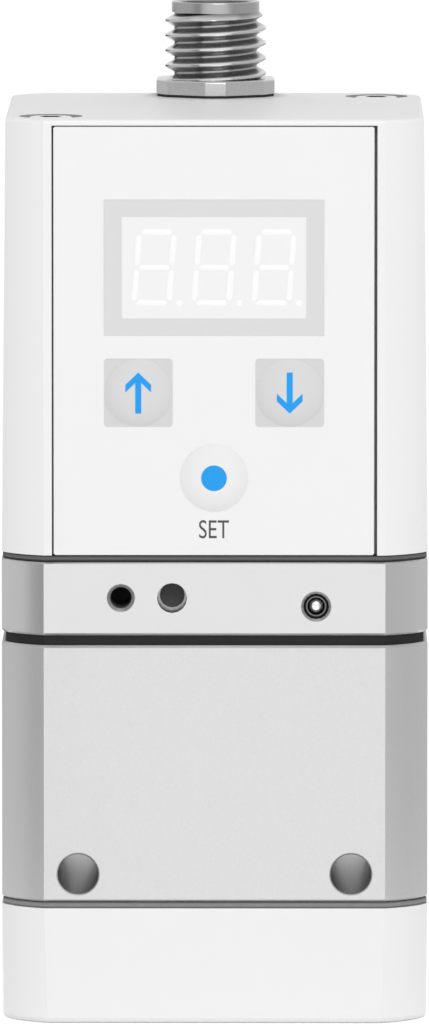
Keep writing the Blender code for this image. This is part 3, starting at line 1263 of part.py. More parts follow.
def make_valves():
    """Two pilot solenoid valves, each with the plunger that opens it."""
    base_bottom = PILOT_TOP + LAYER_GAP
    base_top = base_bottom + VALVE_BASE_HEIGHT
    coil_top = base_top + VALVE_COIL_HEIGHT
    bore_top = base_bottom + PLUNGER_LENGTH + PLUNGER_TRAVEL + REST_GAP * 2
    for name, x in (("supply", SUPPLY_VALVE_X), ("exhaust", EXHAUST_VALVE_X)):
        base = box_between(
            (x - VALVE_BASE_WIDTH / 2, VALVE_Y - VALVE_BASE_DEPTH / 2, base_bottom),
            (x + VALVE_BASE_WIDTH / 2, VALVE_Y + VALVE_BASE_DEPTH / 2, base_top),
        )
        valve = finish_piece(new_object(f"{name}_valve", base), (0.13, 0.13, 0.14), 0.45)
        coil_half = VALVE_COIL_SIZE / 2
        coil_outline = plan_outline(coil_half, coil_half, VALVE_COIL_CORNER, VALVE_COIL_CORNER)
        coil_points = [(x + across, VALVE_Y + along) for across, along in coil_outline]
        join(valve, cutter(f"{name}_coil", slab(base_top - LAYER_GAP, coil_top, coil_points)))
        pole_top = (x, VALVE_Y, coil_top + VALVE_CAP_HEIGHT)
        pole = rod((x, VALVE_Y, coil_top - CUT_MARGIN), pole_top, VALVE_CAP_RADIUS)
        join(valve, cutter(f"{name}_pole", pole))
        bore_bottom = (x, VALVE_Y, base_bottom - CUT_MARGIN)
        bore = rod(bore_bottom, (x, VALVE_Y, bore_top), PLUNGER_RADIUS + FIT_GAP)
        cut(valve, cutter(f"{name}_plunger_bore", bore))
        plunger_bottom = base_bottom + FIT_GAP
        plunger = turned(
            f"{name}_plunger",
            [
                (0.0, PLUNGER_LENGTH),
                (PLUNGER_RADIUS, PLUNGER_LENGTH),
                (PLUNGER_RADIUS, PLUNGER_TIP_HEIGHT),
                (PLUNGER_TIP_RADIUS, 0.0),
                (0.0, 0.0),
            ],
            at(x, VALVE_Y, plunger_bottom),
        )
        finish_piece(plunger, (0.65, 0.65, 0.66), 0.3, 1.0)


def make_pressure_sensor():
    bottom = PILOT_TOP + LAYER_GAP
    half = SENSOR_SIZE / 2
    x = SIGNAL_DRILL_X
    case = box_between((x - half, -half, bottom), (x + half, half, bottom + SENSOR_HEIGHT))
    sensor = finish_piece(new_object("pressure_sensor", case), (0.75, 0.75, 0.70), 0.5)
    inside = (x, 0.0, bottom + SENSOR_HEIGHT / 2)
    stub_end = PILOT_TOP - SENSOR_STUB_LENGTH
    stub = rod((x, 0.0, stub_end), inside, SENSOR_STUB_RADIUS, SMALL)
    join(sensor, cutter("sensor_stub", stub))
    bore = rod((x, 0.0, stub_end - CUT_MARGIN), inside, SENSOR_BORE_RADIUS, SMALL)
    cut(sensor, cutter("sensor_bore", bore))


def hex_socket(name, centre, bottom, top):
    return cutter(name, prism(6, SOCKET_FLATS, bottom, top, centre))


def make_base_screws():
    """Long socket screws from under the cap into the pilot block."""
    head_bottom = BASE_HEAD_SETBACK
    head_top = head_bottom + BASE_HEAD_HEIGHT
    socket_top = head_bottom + SOCKET_DEPTH
    tip = PILOT_BOTTOM + BASE_SCREW_REACH
    profile = [
        (0.0, tip),
        (BASE_SCREW_RADIUS, tip),
        (BASE_SCREW_RADIUS, head_top),
        (BASE_HEAD_RADIUS, head_top),
        (BASE_HEAD_RADIUS, head_bottom),
        (0.0, head_bottom),
    ]
    for number, (x, y) in enumerate(base_screw_places(), start=1):
        screw = turned(f"base_screw_{number}", profile, at(x, y, 0.0), SMALL)
        finish_piece(screw, (0.55, 0.55, 0.56), 0.3, 1.0)
        socket = hex_socket(f"base_screw_socket_{number}", (x, y), head_bottom - CUT_MARGIN, socket_top)
        cut(screw, socket)


def make_cover_screws():
    """Two long screws from the cover's top into the pilot block."""
    seat = COVER_TOP - COVER_HEAD_HEIGHT - REST_GAP + FIT_GAP
    tip = PILOT_TOP - COVER_SCREW_REACH
    crown_bottom = seat + COVER_HEAD_HEIGHT - COVER_HEAD_CROWN
    crown = dome_profile(COVER_HEAD_RADIUS, COVER_HEAD_CROWN)
    head = [(radius, crown_bottom + height) for radius, height in crown]
    profile = head + [
        (COVER_HEAD_RADIUS, seat),
        (COVER_SCREW_RADIUS, seat),
        (COVER_SCREW_RADIUS, tip),
        (0.0, tip),
    ]
    head_top = seat + COVER_HEAD_HEIGHT
    for name, (x, y) in cover_screw_places().items():
        screw = turned(f"cover_screw_{name}", profile, at(x, y, 0.0))
        finish_piece(screw, (0.55, 0.55, 0.56), 0.3, 1.0)
        socket_bottom = head_top - SOCKET_DEPTH
        socket_top = head_top + CUT_MARGIN
        cut(screw, hex_socket(f"cover_screw_socket_{name}", (x, y), socket_bottom, socket_top))


def build_regulator():
    make_base_cap()
    make_cap_gasket()
    make_regulator_body()
    make_body_gasket()
    make_poppet_group()
    make_control_piston()
    make_pilot_block()
    make_cover_gasket()
    make_electronics_cover()
    make_front_panel()
    make_display()
    make_buttons()
    make_boards()
    make_connector()
    make_valves()
    make_pressure_sensor()
    make_base_screws()
    make_cover_screws()


build_regulator()
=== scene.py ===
from math import cos, pi, radians, sin, sqrt, tan, tau

import bmesh
import bpy
from mathutils import Matrix, Vector


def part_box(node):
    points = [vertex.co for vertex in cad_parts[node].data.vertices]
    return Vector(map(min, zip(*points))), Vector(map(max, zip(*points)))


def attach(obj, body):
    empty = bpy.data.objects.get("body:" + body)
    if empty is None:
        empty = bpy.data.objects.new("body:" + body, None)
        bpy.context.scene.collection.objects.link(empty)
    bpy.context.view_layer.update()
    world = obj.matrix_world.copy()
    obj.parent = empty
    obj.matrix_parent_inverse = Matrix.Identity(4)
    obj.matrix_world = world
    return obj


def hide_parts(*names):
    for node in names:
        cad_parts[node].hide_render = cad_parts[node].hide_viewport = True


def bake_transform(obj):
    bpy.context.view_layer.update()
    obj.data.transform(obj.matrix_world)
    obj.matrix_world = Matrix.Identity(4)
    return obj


# Looks of the electro pneumatic regulator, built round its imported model

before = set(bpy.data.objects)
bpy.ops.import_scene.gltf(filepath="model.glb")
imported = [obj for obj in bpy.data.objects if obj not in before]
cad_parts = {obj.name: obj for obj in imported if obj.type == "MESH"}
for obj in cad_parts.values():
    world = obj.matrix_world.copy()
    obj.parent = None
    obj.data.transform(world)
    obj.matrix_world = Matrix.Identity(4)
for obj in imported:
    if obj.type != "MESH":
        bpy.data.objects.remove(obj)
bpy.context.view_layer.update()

MM = 0.001

# Points of a CAD mesh closer than this are one point, and edges closer than this lie on one line
SAME_POINT = 0.0005 * MM
NEARLY = 0.01 * MM

# Gap between two pieces that rest on each other
SEAM = 0.005 * MM

# Photograph's frame, in pixels, and the camera that fits it
PHOTO_HEIGHT = 1024
FOCAL_PIXELS = 13760
SENSOR_WIDTH = 36.0
CAMERA_PITCH = radians(5.55)
CAMERA_YAW = radians(-0.25)
CAMERA_DISTANCE = 1.6094
VIEW_CENTRE_Z = 60.32 * MM

# Light on the regulator: the room, brighter at eye level than overhead, and one soft lamp in front
ROOM_LEVEL = 1.36
CEILING_LEVEL = 0.33
KEY_TURN = radians(8)
KEY_RISE = radians(36)
KEY_DISTANCE = 1.6
KEY_SIZE = 0.9
KEY_POWER = 6.2
FLOOR_LEVEL = 0.80
FLOOR_GLOW = 0.49
FLOOR_REACH = 8.0
FLOOR_GAP = 0.02 * MM

# Curved grey cards at both sides, which the metal reflects: level by the way from front to back
CARD_RADIUS = 75 * MM
CARD_HEIGHT = 240 * MM
CARD_START = radians(38)
CARD_END = radians(160)
CARD_BACK_START = radians(132)
CARD_BACK_HEIGHT = 113 * MM
CARD_COLUMNS = 16
LEFT_CARD_STOPS = ((0.0, 0.30), (0.16, 0.30), (0.29, 0.71), (0.80, 0.73), (0.90, 0.10))
RIGHT_CARD_STOPS = ((0.0, 0.50), (0.30, 0.64), (0.85, 0.72), (0.96, 0.50))

# Front panel's printed fields and its keys, in the panel's plane
PANEL_CORNER = 0.4 * MM
FINE_CORNER = 0.12 * MM
PANEL_LEFT_GROWTH = 0.03 * MM
PANEL_LOW_GAP = 0.04 * MM
PANEL_MARGIN = 0.45 * MM
LENS_FLANGE = 1.0 * MM
LENS_GAP = 0.1 * MM
FINE_LENS_GAP = 0.012 * MM
PAD_SIZE = 8.05 * MM
PAD_CORNER = 0.45 * MM
LENS_WINDOW_WIDTH = 21.54 * MM
LENS_WINDOW_HEIGHT = 11.85 * MM
LENS_WINDOW_CORNER = 0.1 * MM
KEY_RADIUS = 4.01 * MM
KEY_CROWN = 0.38 * MM
KEY_CROWN_POWER = 3.4
KEY_SHADE_SHIFT = 0.22 * MM
KEY_CLEARANCE = 0.012 * MM
KEY_RINGS = 16
KEY_COLUMNS = 96
KEY_FLANGE = 0.7 * MM
ARROW_HALF_HEIGHT = 2.42 * MM
ARROW_HALF_HEAD = 1.51 * MM
ARROW_HALF_SHAFT = 0.36 * MM
ARROW_TIP_SLOPE = 0.96
ARROW_ARM = 0.92 * MM
DOT_RADIUS = 1.51 * MM
LABEL_WIDTH = 3.5 * MM
LABEL_HEIGHT = 2.15 * MM
LABEL_DROP = 7.1 * MM
LABEL_RISE = 0.012 * MM
LABEL_EXTRUDE = 0.5

# Digits of the display
DIGIT_COUNT = 3
DIGIT_PITCH = 7.0 * MM
DIGIT_FIRST_X = -7.05 * MM
DIGIT_HEIGHT = 8.3 * MM
DIGIT_HALF_WIDTH = 2.035 * MM
DIGIT_SLANT = 0.075
BAR_LENGTH = 3.5 * MM
BAR_THICKNESS = 0.66 * MM
BAR_RISE = 0.03 * MM
POINT_OFFSET_X = 3.25 * MM
POINT_RADIUS = 0.36 * MM
POINT_CORNERS = 20

# Cable connector
THREAD_RADIUS = 6.0 * MM
THREAD_ROOT = 4.93 * MM
THREAD_PITCH = 1.79 * MM
THREAD_START = 0.67
THREAD_COLUMNS = 112
THREAD_ROWS = 26
THREAD_FLAT = 0.06
RIM_RADIUS = 5.2 * MM
RIM_DROP = 0.25 * MM
RIM_HEIGHT = 1.25 * MM
RIM_BEVEL = 0.1 * MM
TUBE_INSET = 0.08 * MM
COLLAR_INSET = 0.04 * MM
BORE_RADIUS = 4.4 * MM
CONNECTOR_HEIGHT = 11.4 * MM
COLLAR_FLATS = 14.0 * MM
COLLAR_CORNER_WIDTH = 2.45 * MM
COLLAR_CHAMFER = 0.18 * MM
COLLAR_HEIGHT = 1.95 * MM
COLLAR_GAP = 0.05 * MM
# Height of the near-black band under the collar, which stands for its contact shadow
COLLAR_SHADOW_BAND = 0.28 * MM
# Painted shade on the cover's top round the collar: where it starts and how wide it fades
COLLAR_REACH = 7.5 * MM
COLLAR_SHADE_WIDTH = 1.3 * MM
# Size of that band of painted contact shadow against the collar's outline
COLLAR_SHADOW_BAND_SHARE = 0.985

# Holes in the metal's front, as places and radii
TAPPED_HOLE = (-10.96 * MM, 50.2 * MM)
TAPPED_HOLE_RADIUS = 1.27 * MM
FRONT_HOLES = (
    (TAPPED_HOLE, 1.66 * MM),
    ((-4.97 * MM, 50.2 * MM), 1.76 * MM),
    ((11.9 * MM, 49.2 * MM), 1.79 * MM),
)
SLEEVE_STEP_RADIUS = 1.18 * MM
MOUNTING_HOLES = ((-16.0 * MM, 17.65 * MM), (16.0 * MM, 17.65 * MM))
MOUNTING_HOLE_RADIUS = 2.36 * MM
# Width of the dark line of painted shade round the mounting holes
HOLE_EDGE_WIDTH = 0.1 * MM

# Screws in the cover's top
COVER_TOP = 106.3 * MM
SINK_RADIUS = 3.84 * MM
SINK_DEPTH = 0.02 * MM
HEAD_DROP = 0.03 * MM
HEAD_EDGE = 1.12 * MM
HEAD_CROWN = 0.1 * MM
SOCKET_RADIUS = 1.5 * MM
# Reach of the painted shade in the cover's recess round the panel
RECESS_MARGIN = 0.4 * MM
RECESS_DEPTH = 3.0 * MM

# Colours and grey levels, as linear light
BLUE = (0.014, 0.352, 0.885)
STEEL = (0.56, 0.56, 0.57)
BRIGHT_STEEL = (0.85, 0.85, 0.86)
PISTON_METAL = (0.74, 0.74, 0.75)
PILOT_METAL = (0.668, 0.668, 0.672)
BLASTED_LOW = (0.57, 0.57, 0.575)
BLASTED_HIGH = (0.71, 0.71, 0.715)
BRASS = (0.80, 0.62, 0.34)
GOLD = (0.90, 0.72, 0.38)
BLACK_PLASTIC = (0.035, 0.035, 0.036)
BOARD_GREEN = (0.03, 0.20, 0.08)
SENSOR_GREY = (0.70, 0.70, 0.66)
COVER_WHITE = 0.90
PANEL_WHITE = 0.905
# Painted shade on the cover: in its recess and sinks, and round the connector's collar
RECESS_SHADE_LEVEL = 0.34
SHADE_LEVEL = 0.30
SHADE_STRENGTH = 0.45
TOP_DEPTH = 0.06 * MM
PAD_LEVEL = 0.69
LENS_FRAME_LEVEL = 0.735
ARROW_KEY_LEVEL = 0.715
SET_KEY_LEVEL = 0.865
# Painted light on each key's crown and painted shade at its edge, as shares of its grey
KEY_PAINTED_LIGHT_GAIN = 1.015
KEY_PAINTED_SHADE_GAIN = 0.945
LABEL_LEVEL = 0.065
DIGIT_LEVEL = 0.99
# Painted shade inside the metal's holes and along their edges; near black in the tapped hole
DRILLED_SHADE_LEVEL = 0.45
TAPPED_HOLE_SHADE_LEVEL = 0.1
HOLE_EDGE_SHADE_LEVEL = 0.22
RIM_LEVEL = 0.43
COLLAR_LEVEL = 0.575
SCREW_HEAD_LEVEL = 0.88
# Painted shade in the screws' sockets
SOCKET_SHADE_LEVEL = 0.05
# Sleeve round the ball: near-black painted shade of the gap outside, its own grey inside
SLEEVE_GAP_SHADE_LEVEL = 0.008
SLEEVE_INNER_LEVEL = 0.17
# Painted light and shade on the thread, from its root (0) to its crest (1)
THREAD_LIGHT_AND_SHADE_STOPS = ((0.0, 0.38), (0.08, 0.23), (0.36, 0.24), (0.72, 0.50), (1.0, 0.63))

# Stretch of the noise along turned marks and along a satin finish
TURNED_STRETCH = (0.3, 0.3, 4.0)
TURNED_BUMP_STRETCH = (0.1, 0.1, 3.0)
SATIN_STRETCH = (0.15, 0.15, 1.0)
SATIN_BUMP_STRETCH = (0.05, 0.05, 1.0)

# Numbers of the sockets that have no name of their own
OBJECT_PLACE = 3
MIX_FACTOR = 0
MIX_LOW = 6
MIX_HIGH = 7
MIX_RESULT = 2

# Turn in degrees above which an edge stays sharp, on the outer layers and elsewhere
LAYER_SHARP_ANGLE = 20
SHARP_ANGLE = 32
EDGE_STEPS = 2
LAYERS = (
    "electronics_cover",
    "cover_gasket",
    "pilot_block",
    "body_gasket",
    "regulator_body",
    "cap_gasket",
    "base_cap",
)


class Value:
    """A socket's value in a node tree. Arithmetic on it adds Math nodes."""

    def __init__(self, nodes, socket):
        self.nodes = nodes
        self.socket = socket

    def math(self, operation, *values):
        return self.nodes.node("ShaderNodeMath", {"operation": operation}, dict(enumerate(values)))

    def __add__(self, other):
        return self.math("ADD", self, other)

    def __radd__(self, other):
        return self.math("ADD", other, self)

    def __sub__(self, other):
        return self.math("SUBTRACT", self, other)

    def __rsub__(self, other):
        return self.math("SUBTRACT", other, self)

    def __mul__(self, other):
        return self.math("MULTIPLY", self, other)

    def __rmul__(self, other):
        return self.math("MULTIPLY", other, self)

    def __truediv__(self, other):
        return self.math("DIVIDE", self, other)

    def __abs__(self):
        return self.math("ABSOLUTE", self)

    def least(self, other):
        return self.math("MINIMUM", self, other)

    def most(self, other):
        return self.math("MAXIMUM", self, other)

    def root(self):
        return self.math("SQRT", self)

    def held(self):
        """The value kept between 0 and 1."""
        return self.most(0.0).least(1.0)


class Nodes:
    """A node tree under construction."""

    def __init__(self, tree):
        self.tree = tree

    def node(self, kind, settings=None, inputs=None, output=0):
        """Add a node, set it up, fill its sockets, and return one of its outputs."""
        made = self.tree.nodes.new(kind)
        for name, value in (settings or {}).items():
            if name == "stops":
                self.fill_ramp(made.color_ramp, value)
            else:
                setattr(made, name, value)
        for key, value in (inputs or {}).items():
            self.feed(made.inputs[key], value)
        return Value(self, made.outputs[output])

    def feed(self, socket, value):
        if isinstance(value, Value):
            self.tree.links.new(value.socket, socket)
        elif isinstance(value, tuple) and socket.type == "RGBA":
            socket.default_value = (*value, 1.0)
        else:
            socket.default_value = value

    def fill_ramp(self, ramp, stops):
        while len(ramp.elements) < len(stops):
            ramp.elements.new(1.0)
        for element, (place, level) in zip(ramp.elements, stops):
            element.position = place
            element.color = (level, level, level, 1.0)

    def mix(self, factor, low, high):
        """Blend of two colours."""
        inputs = {MIX_FACTOR: factor, MIX_LOW: low, MIX_HIGH: high}
        return self.node("ShaderNodeMix", {"data_type": "RGBA"}, inputs, MIX_RESULT)

    def ramp(self, factor, stops):
        """Grey level that follows the stops."""
        return self.node("ShaderNodeValToRGB", {"stops": stops}, {0: factor})

    def seen(self):
        """1 for what the camera sees, straight or in clear reflections, and 0 for soft light."""
        rays = self.node("ShaderNodeLightPath").socket.node.outputs
        names = ("Is Camera Ray", "Is Glossy Ray", "Is Transmission Ray")
        camera, glossy, transmission = (Value(self, rays[name]) for name in names)
        return camera.most(glossy).most(transmission)


class Finish(Nodes):
    """A material under construction, with its Principled shader."""

    def __init__(self, name, roughness=0.5, metallic=0.0, **constants):
        self.material = bpy.data.materials.new(name)
        self.material.use_nodes = True
        super().__init__(self.material.node_tree)
        self.shader = self.tree.nodes["Principled BSDF"]
        self.set(Roughness=roughness, Metallic=metallic, **constants)

    def set(self, **sockets):
        for name, value in sockets.items():
            self.feed(self.shader.inputs[name.replace("_", " ")], value)

    def place(self):
        """Object coordinates as a vector, in metres."""
        return self.node("ShaderNodeTexCoord", output=OBJECT_PLACE)

    def axes(self):
        """Object coordinates as three values."""
        outputs = self.node("ShaderNodeSeparateXYZ", inputs={0: self.place()}).socket.node.outputs
        return [Value(self, outputs[axis]) for axis in "XYZ"]

    def noise(self, size, detail=2.0, roughness=0.5, stretch=None):
        """Noise with features of about that size, between 0 and 1."""
        place = self.place()
        if stretch is not None:
            scaled = {0: place, 1: stretch}
            place = self.node("ShaderNodeVectorMath", {"operation": "MULTIPLY"}, scaled)
        inputs = {"Vector": place, "Scale": 1 / size, "Detail": detail, "Roughness": roughness}
        return self.node("ShaderNodeTexNoise", inputs=inputs)

    def tint(self, colour, variation, size, detail=3.0):
        """A colour that drifts a little lighter and darker over the surface."""
        low = tuple(channel * (1 - variation) for channel in colour)
        high = tuple(min(1.0, channel * (1 + variation)) for channel in colour)
        return self.mix(self.noise(size, detail), low, high)

    def bump(self, height, distance, strength=1.0):
        """Raise the surface by height, a value from 0 to 1, times distance in metres."""
        inputs = {"Strength": strength, "Distance": distance, "Height": height}
        self.set(Normal=self.node("ShaderNodeBump", inputs=inputs))


def box_field(across, up, centre, half_size, corner=0.0):
    """Signed distance from a rounded rectangle, negative inside."""
    beyond_x = abs(across - centre[0]) - (half_size[0] - corner)
    beyond_z = abs(up - centre[1]) - (half_size[1] - corner)
    out_x = beyond_x.most(0.0)
    out_z = beyond_z.most(0.0)
    return (out_x * out_x + out_z * out_z).root() + beyond_x.most(beyond_z).least(0.0) - corner


def disc_field(across, up, centre, radius):
    """Signed distance from a circle, negative inside."""
    right = across - centre[0]
    above = up - centre[1]
    return (right * right + above * above).root() - radius


def inside(distance, blur=0.02 * MM):
    """1 where a signed distance is negative, 0 where it is positive."""
    return (0.5 - distance / blur).held()


# Finishes


def grey(level):
    return (level, level, level)


def moulding(name):
    """Moulding with a very fine uneven skin, which still needs its colour."""
    finish = Finish(name, Specular_IOR_Level=0.3)
    finish.bump(finish.noise(0.35 * MM, 3.0), 0.004 * MM, 0.35)
    return finish


def satin(finish):
    """Roughness of a satin moulding."""
    return finish.noise(1.1 * MM, 4.0) * 0.10 + 0.34


def plain_white(finish, level):
    """White that drifts very little over the surface."""
    return finish.tint(grey(level), 0.006, 9 * MM)


def white_moulding(name, level):
    """Satin white moulding."""
    finish = moulding(name)
    finish.set(Base_Color=plain_white(finish, level), Roughness=satin(finish))
    return finish


def cover_finish(name):
    """White moulding, with painted shade round the panel, in the screws' sinks and round the
    collar.
    """
    finish = moulding(name)
    across, depth, up = finish.axes()
    low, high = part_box("front_panel")
    centre = ((low.x + high.x) / 2, (low.z + high.z) / 2)
    half_size = ((high.x - low.x) / 2 + RECESS_MARGIN, (high.z - low.z) / 2 + RECESS_MARGIN)
    # Painted shade in the recess round the panel and in the screws' sinks
    recess_shade = inside(box_field(across, up, centre, half_size)).least(inside(low.y - depth))
    recess_shade = recess_shade.least(inside(depth - (low.y + RECESS_DEPTH)))
    for screw in ("cover_screw_front", "cover_screw_rear"):
        place = middle(screw)
        sink = inside(disc_field(across, depth, (place.x, place.y), SINK_RADIUS))
        recess_shade = recess_shade.most(sink.least(inside(up - (COVER_TOP - SINK_DEPTH))))
    # Painted shade on the cover's top, fading out from the collar
    top = inside(COVER_TOP - TOP_DEPTH - up)
    connector = connector_middle()
    beyond_collar = disc_field(across, depth, (connector.x, connector.y), COLLAR_REACH)
    shade = (1 - beyond_collar / COLLAR_SHADE_WIDTH).held() * top * SHADE_STRENGTH
    base = finish.mix(shade, plain_white(finish, COVER_WHITE), grey(SHADE_LEVEL))
    recess_shade_grey = finish.tint(grey(RECESS_SHADE_LEVEL), 0.2, 0.5 * MM)
    finish.set(Base_Color=finish.mix(recess_shade, base, recess_shade_grey))
    finish.set(Roughness=satin(finish) + top * 0.12)
    return finish


def panel_finish(name, pads):
    """White moulding with a grey printed square behind each of the two arrow keys."""
    finish = moulding(name)
    across, _, up = finish.axes()
    half_size = (PAD_SIZE / 2, PAD_SIZE / 2)
    fields = [box_field(across, up, centre, half_size, PAD_CORNER) for centre in pads]
    printed = inside(fields[0].least(fields[1]))
    ink = finish.tint(grey(PAD_LEVEL), 0.01, 3 * MM)
    finish.set(Base_Color=finish.mix(printed, plain_white(finish, PANEL_WHITE), ink))
    finish.set(Roughness=satin(finish))
    return finish


def lens_finish(name, centre):
    """Grey frame round a pale window."""
    finish = Finish(name, roughness=0.28, Specular_IOR_Level=0.3)
    across, _, up = finish.axes()
    half_size = (LENS_WINDOW_WIDTH / 2, LENS_WINDOW_HEIGHT / 2)
    window = inside(box_field(across, up, centre, half_size, LENS_WINDOW_CORNER))
    surround = finish.tint(grey(LENS_FRAME_LEVEL), 0.006, 5 * MM)
    pane = finish.tint(grey(PANEL_WHITE), 0.006, 5 * MM)
    finish.set(Base_Color=finish.mix(window, surround, pane))
    finish.bump(finish.noise(0.5 * MM, 2.0), 0.002 * MM, 0.2)
    return finish


def arrow_field(across, up, centre, turn):
    """Signed distance from an arrow, negative inside. It points up for a turn of 1, down for -1."""
    side = abs(across - centre[0])
    along = (up - centre[1]) * turn
    under_tip = ARROW_HALF_HEIGHT - side * ARROW_TIP_SLOPE - along
    arm = under_tip.least(ARROW_ARM - under_tip).least(ARROW_HALF_HEAD - side)
    shaft = under_tip.least(ARROW_HALF_SHAFT - side).least(along + ARROW_HALF_HEIGHT)
    return 0.0 - arm.most(shaft)


def key_finish(name, level, centre, mark):
    """Soft key with its blue mark (an arrow up, an arrow down or a dot) and painted light and shade
    on its dome.
    """
    finish = Finish(name, Specular_IOR_Level=0.25)
    finish.set(Roughness=finish.noise(0.8 * MM, 3.0) * 0.1 + 0.36)
    finish.bump(finish.noise(0.25 * MM, 2.0), 0.003 * MM, 0.3)
    across, _, up = finish.axes()
    if mark == "dot":
        shape = disc_field(across, up, centre, DOT_RADIUS)
    else:
        shape = arrow_field(across, up, centre, 1.0 if mark == "up" else -1.0)
    # Painted light on the dome's crown and painted shade towards its edge, centred up and right of
    # the key's middle
    lit_place = (centre[0] + KEY_SHADE_SHIFT, centre[1] + KEY_SHADE_SHIFT)
    reach = disc_field(across, up, lit_place, 0.0) / KEY_RADIUS
    crown = finish.tint(grey(level * KEY_PAINTED_LIGHT_GAIN), 0.008, 2 * MM)
    base = finish.mix((reach * reach * reach).held(), crown, grey(level * KEY_PAINTED_SHADE_GAIN))
    ink = finish.tint(BLUE, 0.02, 1 * MM)
    finish.set(Base_Color=finish.mix(inside(shape, 0.03 * MM), base, ink))
    return finish


def print_finish(name, level):
    """Printing ink with a faint mottle."""
    finish = Finish(name)
    finish.set(Base_Color=finish.tint(grey(level), 0.06, 0.4 * MM))
    finish.set(Roughness=finish.noise(0.3 * MM, 2.0) * 0.1 + 0.45)
    return finish


def blasted_metal(name):
    """Blasted aluminium with a fine sparkle. Its drilled holes are smoother, with painted shade
    inside and at the edge.
    """
    finish = Finish(name, metallic=1.0)
    grain = finish.noise(0.16 * MM, 4.0, 0.65)
    across, _, up = finish.axes()
    left, right = (disc_field(across, up, place, MOUNTING_HOLE_RADIUS) for place in MOUNTING_HOLES)
    nearest = left.least(right)
    drilled = inside(nearest)
    # Painted shade: a dark line round each mounting hole's edge, and darker walls inside
    edge = inside(abs(nearest) - HOLE_EDGE_WIDTH / 2, 0.04 * MM)
    blasted = finish.mix(grain, BLASTED_LOW, BLASTED_HIGH)
    walls = finish.mix(drilled, blasted, finish.tint(grey(DRILLED_SHADE_LEVEL), 0.02, 0.5 * MM))
    dark = finish.tint(grey(HOLE_EDGE_SHADE_LEVEL), 0.02, 0.5 * MM)
    finish.set(Base_Color=finish.mix(edge, walls, dark))
    finish.set(Roughness=grain * 0.16 + 0.38 - drilled * 0.17)
    finish.bump(finish.noise(0.13 * MM, 4.0, 0.7) * (1 - drilled), 0.012 * MM, 0.55)
    return finish


def smooth_metal(name):
    """Satin aluminium with painted shade in its front holes, near black inside the tapped one."""
    finish = Finish(name)
    across, depth, up = finish.axes()
    in_front = inside(depth)
    fields = [disc_field(across, up, place, radius) for place, radius in FRONT_HOLES]
    # Painted shade on the front holes' walls, and near-black painted shade inside the tapped hole
    drilled = inside(fields[0].least(fields[1]).least(fields[2])).least(in_front)
    hole = inside(disc_field(across, up, TAPPED_HOLE, TAPPED_HOLE_RADIUS)).least(in_front)
    bright = finish.tint(PILOT_METAL, 0.015, 6 * MM)
    walls = finish.mix(drilled, bright, finish.tint(grey(DRILLED_SHADE_LEVEL), 0.1, 0.4 * MM))
    dark = finish.tint(grey(TAPPED_HOLE_SHADE_LEVEL), 0.3, 0.3 * MM)
    finish.set(Base_Color=finish.mix(hole, walls, dark), Metallic=1 - hole)
    brushed = finish.noise(0.5 * MM, 4.0, stretch=SATIN_STRETCH) * 0.08 + 0.26
    finish.set(Roughness=brushed + hole * 0.6)
    finish.bump(finish.noise(0.12 * MM, 3.0, stretch=SATIN_BUMP_STRETCH), 0.002 * MM, 0.3)
    return finish


def tooled_metal(name, marks=0.35):
    """Metal with faint tool marks, which still needs its colour."""
    finish = Finish(name, metallic=1.0)
    finish.bump(finish.noise(0.12 * MM, 2.0, stretch=TURNED_BUMP_STRETCH), 0.002 * MM, marks)
    return finish


def turned(finish, roughness):
    """Roughness of a turned face."""
    return finish.noise(0.3 * MM, 3.0, stretch=TURNED_STRETCH) * 0.12 + roughness


def turned_metal(name, colour, roughness=0.22, marks=0.35):
    """Turned or plated metal of one colour."""
    finish = tooled_metal(name, marks)
    finish.set(Base_Color=finish.tint(colour, 0.03, 2 * MM), Roughness=turned(finish, roughness))
    return finish


def thread_finish(name, centre_y):
    """Plated metal with painted light on the thread's crests and root, and painted shade on its
    flanks.
    """
    finish = tooled_metal(name, 0.08)
    across, depth, up = finish.axes()
    beyond_root = disc_field(across, depth, (0.0, centre_y), THREAD_ROOT)
    # Grey by radius: painted light at the crest and root, painted shade down the flanks
    painted_thread_light = finish.ramp(beyond_root / (THREAD_RADIUS - THREAD_ROOT), THREAD_LIGHT_AND_SHADE_STOPS)
    rim = inside(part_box("connector_shell")[1].z - RIM_DROP - RIM_HEIGHT - up)
    finish.set(Base_Color=finish.mix(rim, painted_thread_light, finish.tint(grey(RIM_LEVEL), 0.03, 0.4 * MM)))
    finish.set(Roughness=turned(finish, 0.14) + rim * 0.1)
    return finish


def socket_screw(name, screw):
    """Plated screw with a dark disc of painted shade for the socket in its head."""
    finish = tooled_metal(name)
    across, depth, up = finish.axes()
    place = middle(screw)
    # Painted shade: a dark disc where the head's socket lies
    socket = inside(disc_field(across, depth, (place.x, place.y), SOCKET_RADIUS))
    socket = socket.least(inside(up - (COVER_TOP - HEAD_DROP - 0.03 * MM)))
    finish.set(Metallic=0.2, Roughness=finish.noise(0.3 * MM) * 0.1 + 0.35)
    plated = finish.tint(grey(SCREW_HEAD_LEVEL), 0.02, 2 * MM)
    dark = finish.tint(grey(SOCKET_SHADE_LEVEL), 0.2, 0.4 * MM)
    finish.set(Base_Color=finish.mix(socket, plated, dark))
    return finish


def raw_rubber(name):
    """Dull rubber skin, which still needs its colour."""
    finish = Finish(name, Specular_IOR_Level=0.25)
    finish.set(Roughness=finish.noise(0.4 * MM, 3.0) * 0.2 + 0.6)
    finish.bump(finish.noise(0.2 * MM, 3.0), 0.006 * MM, 0.5)
    return finish


def rubber_grey(finish, level):
    """Grey of rubber, a little uneven."""
    return finish.tint(grey(level), 0.12, 0.8 * MM)


def rubber(name, level):
    """Rubber of one grey."""
    finish = raw_rubber(name)
    finish.set(Base_Color=rubber_grey(finish, level))
    return finish


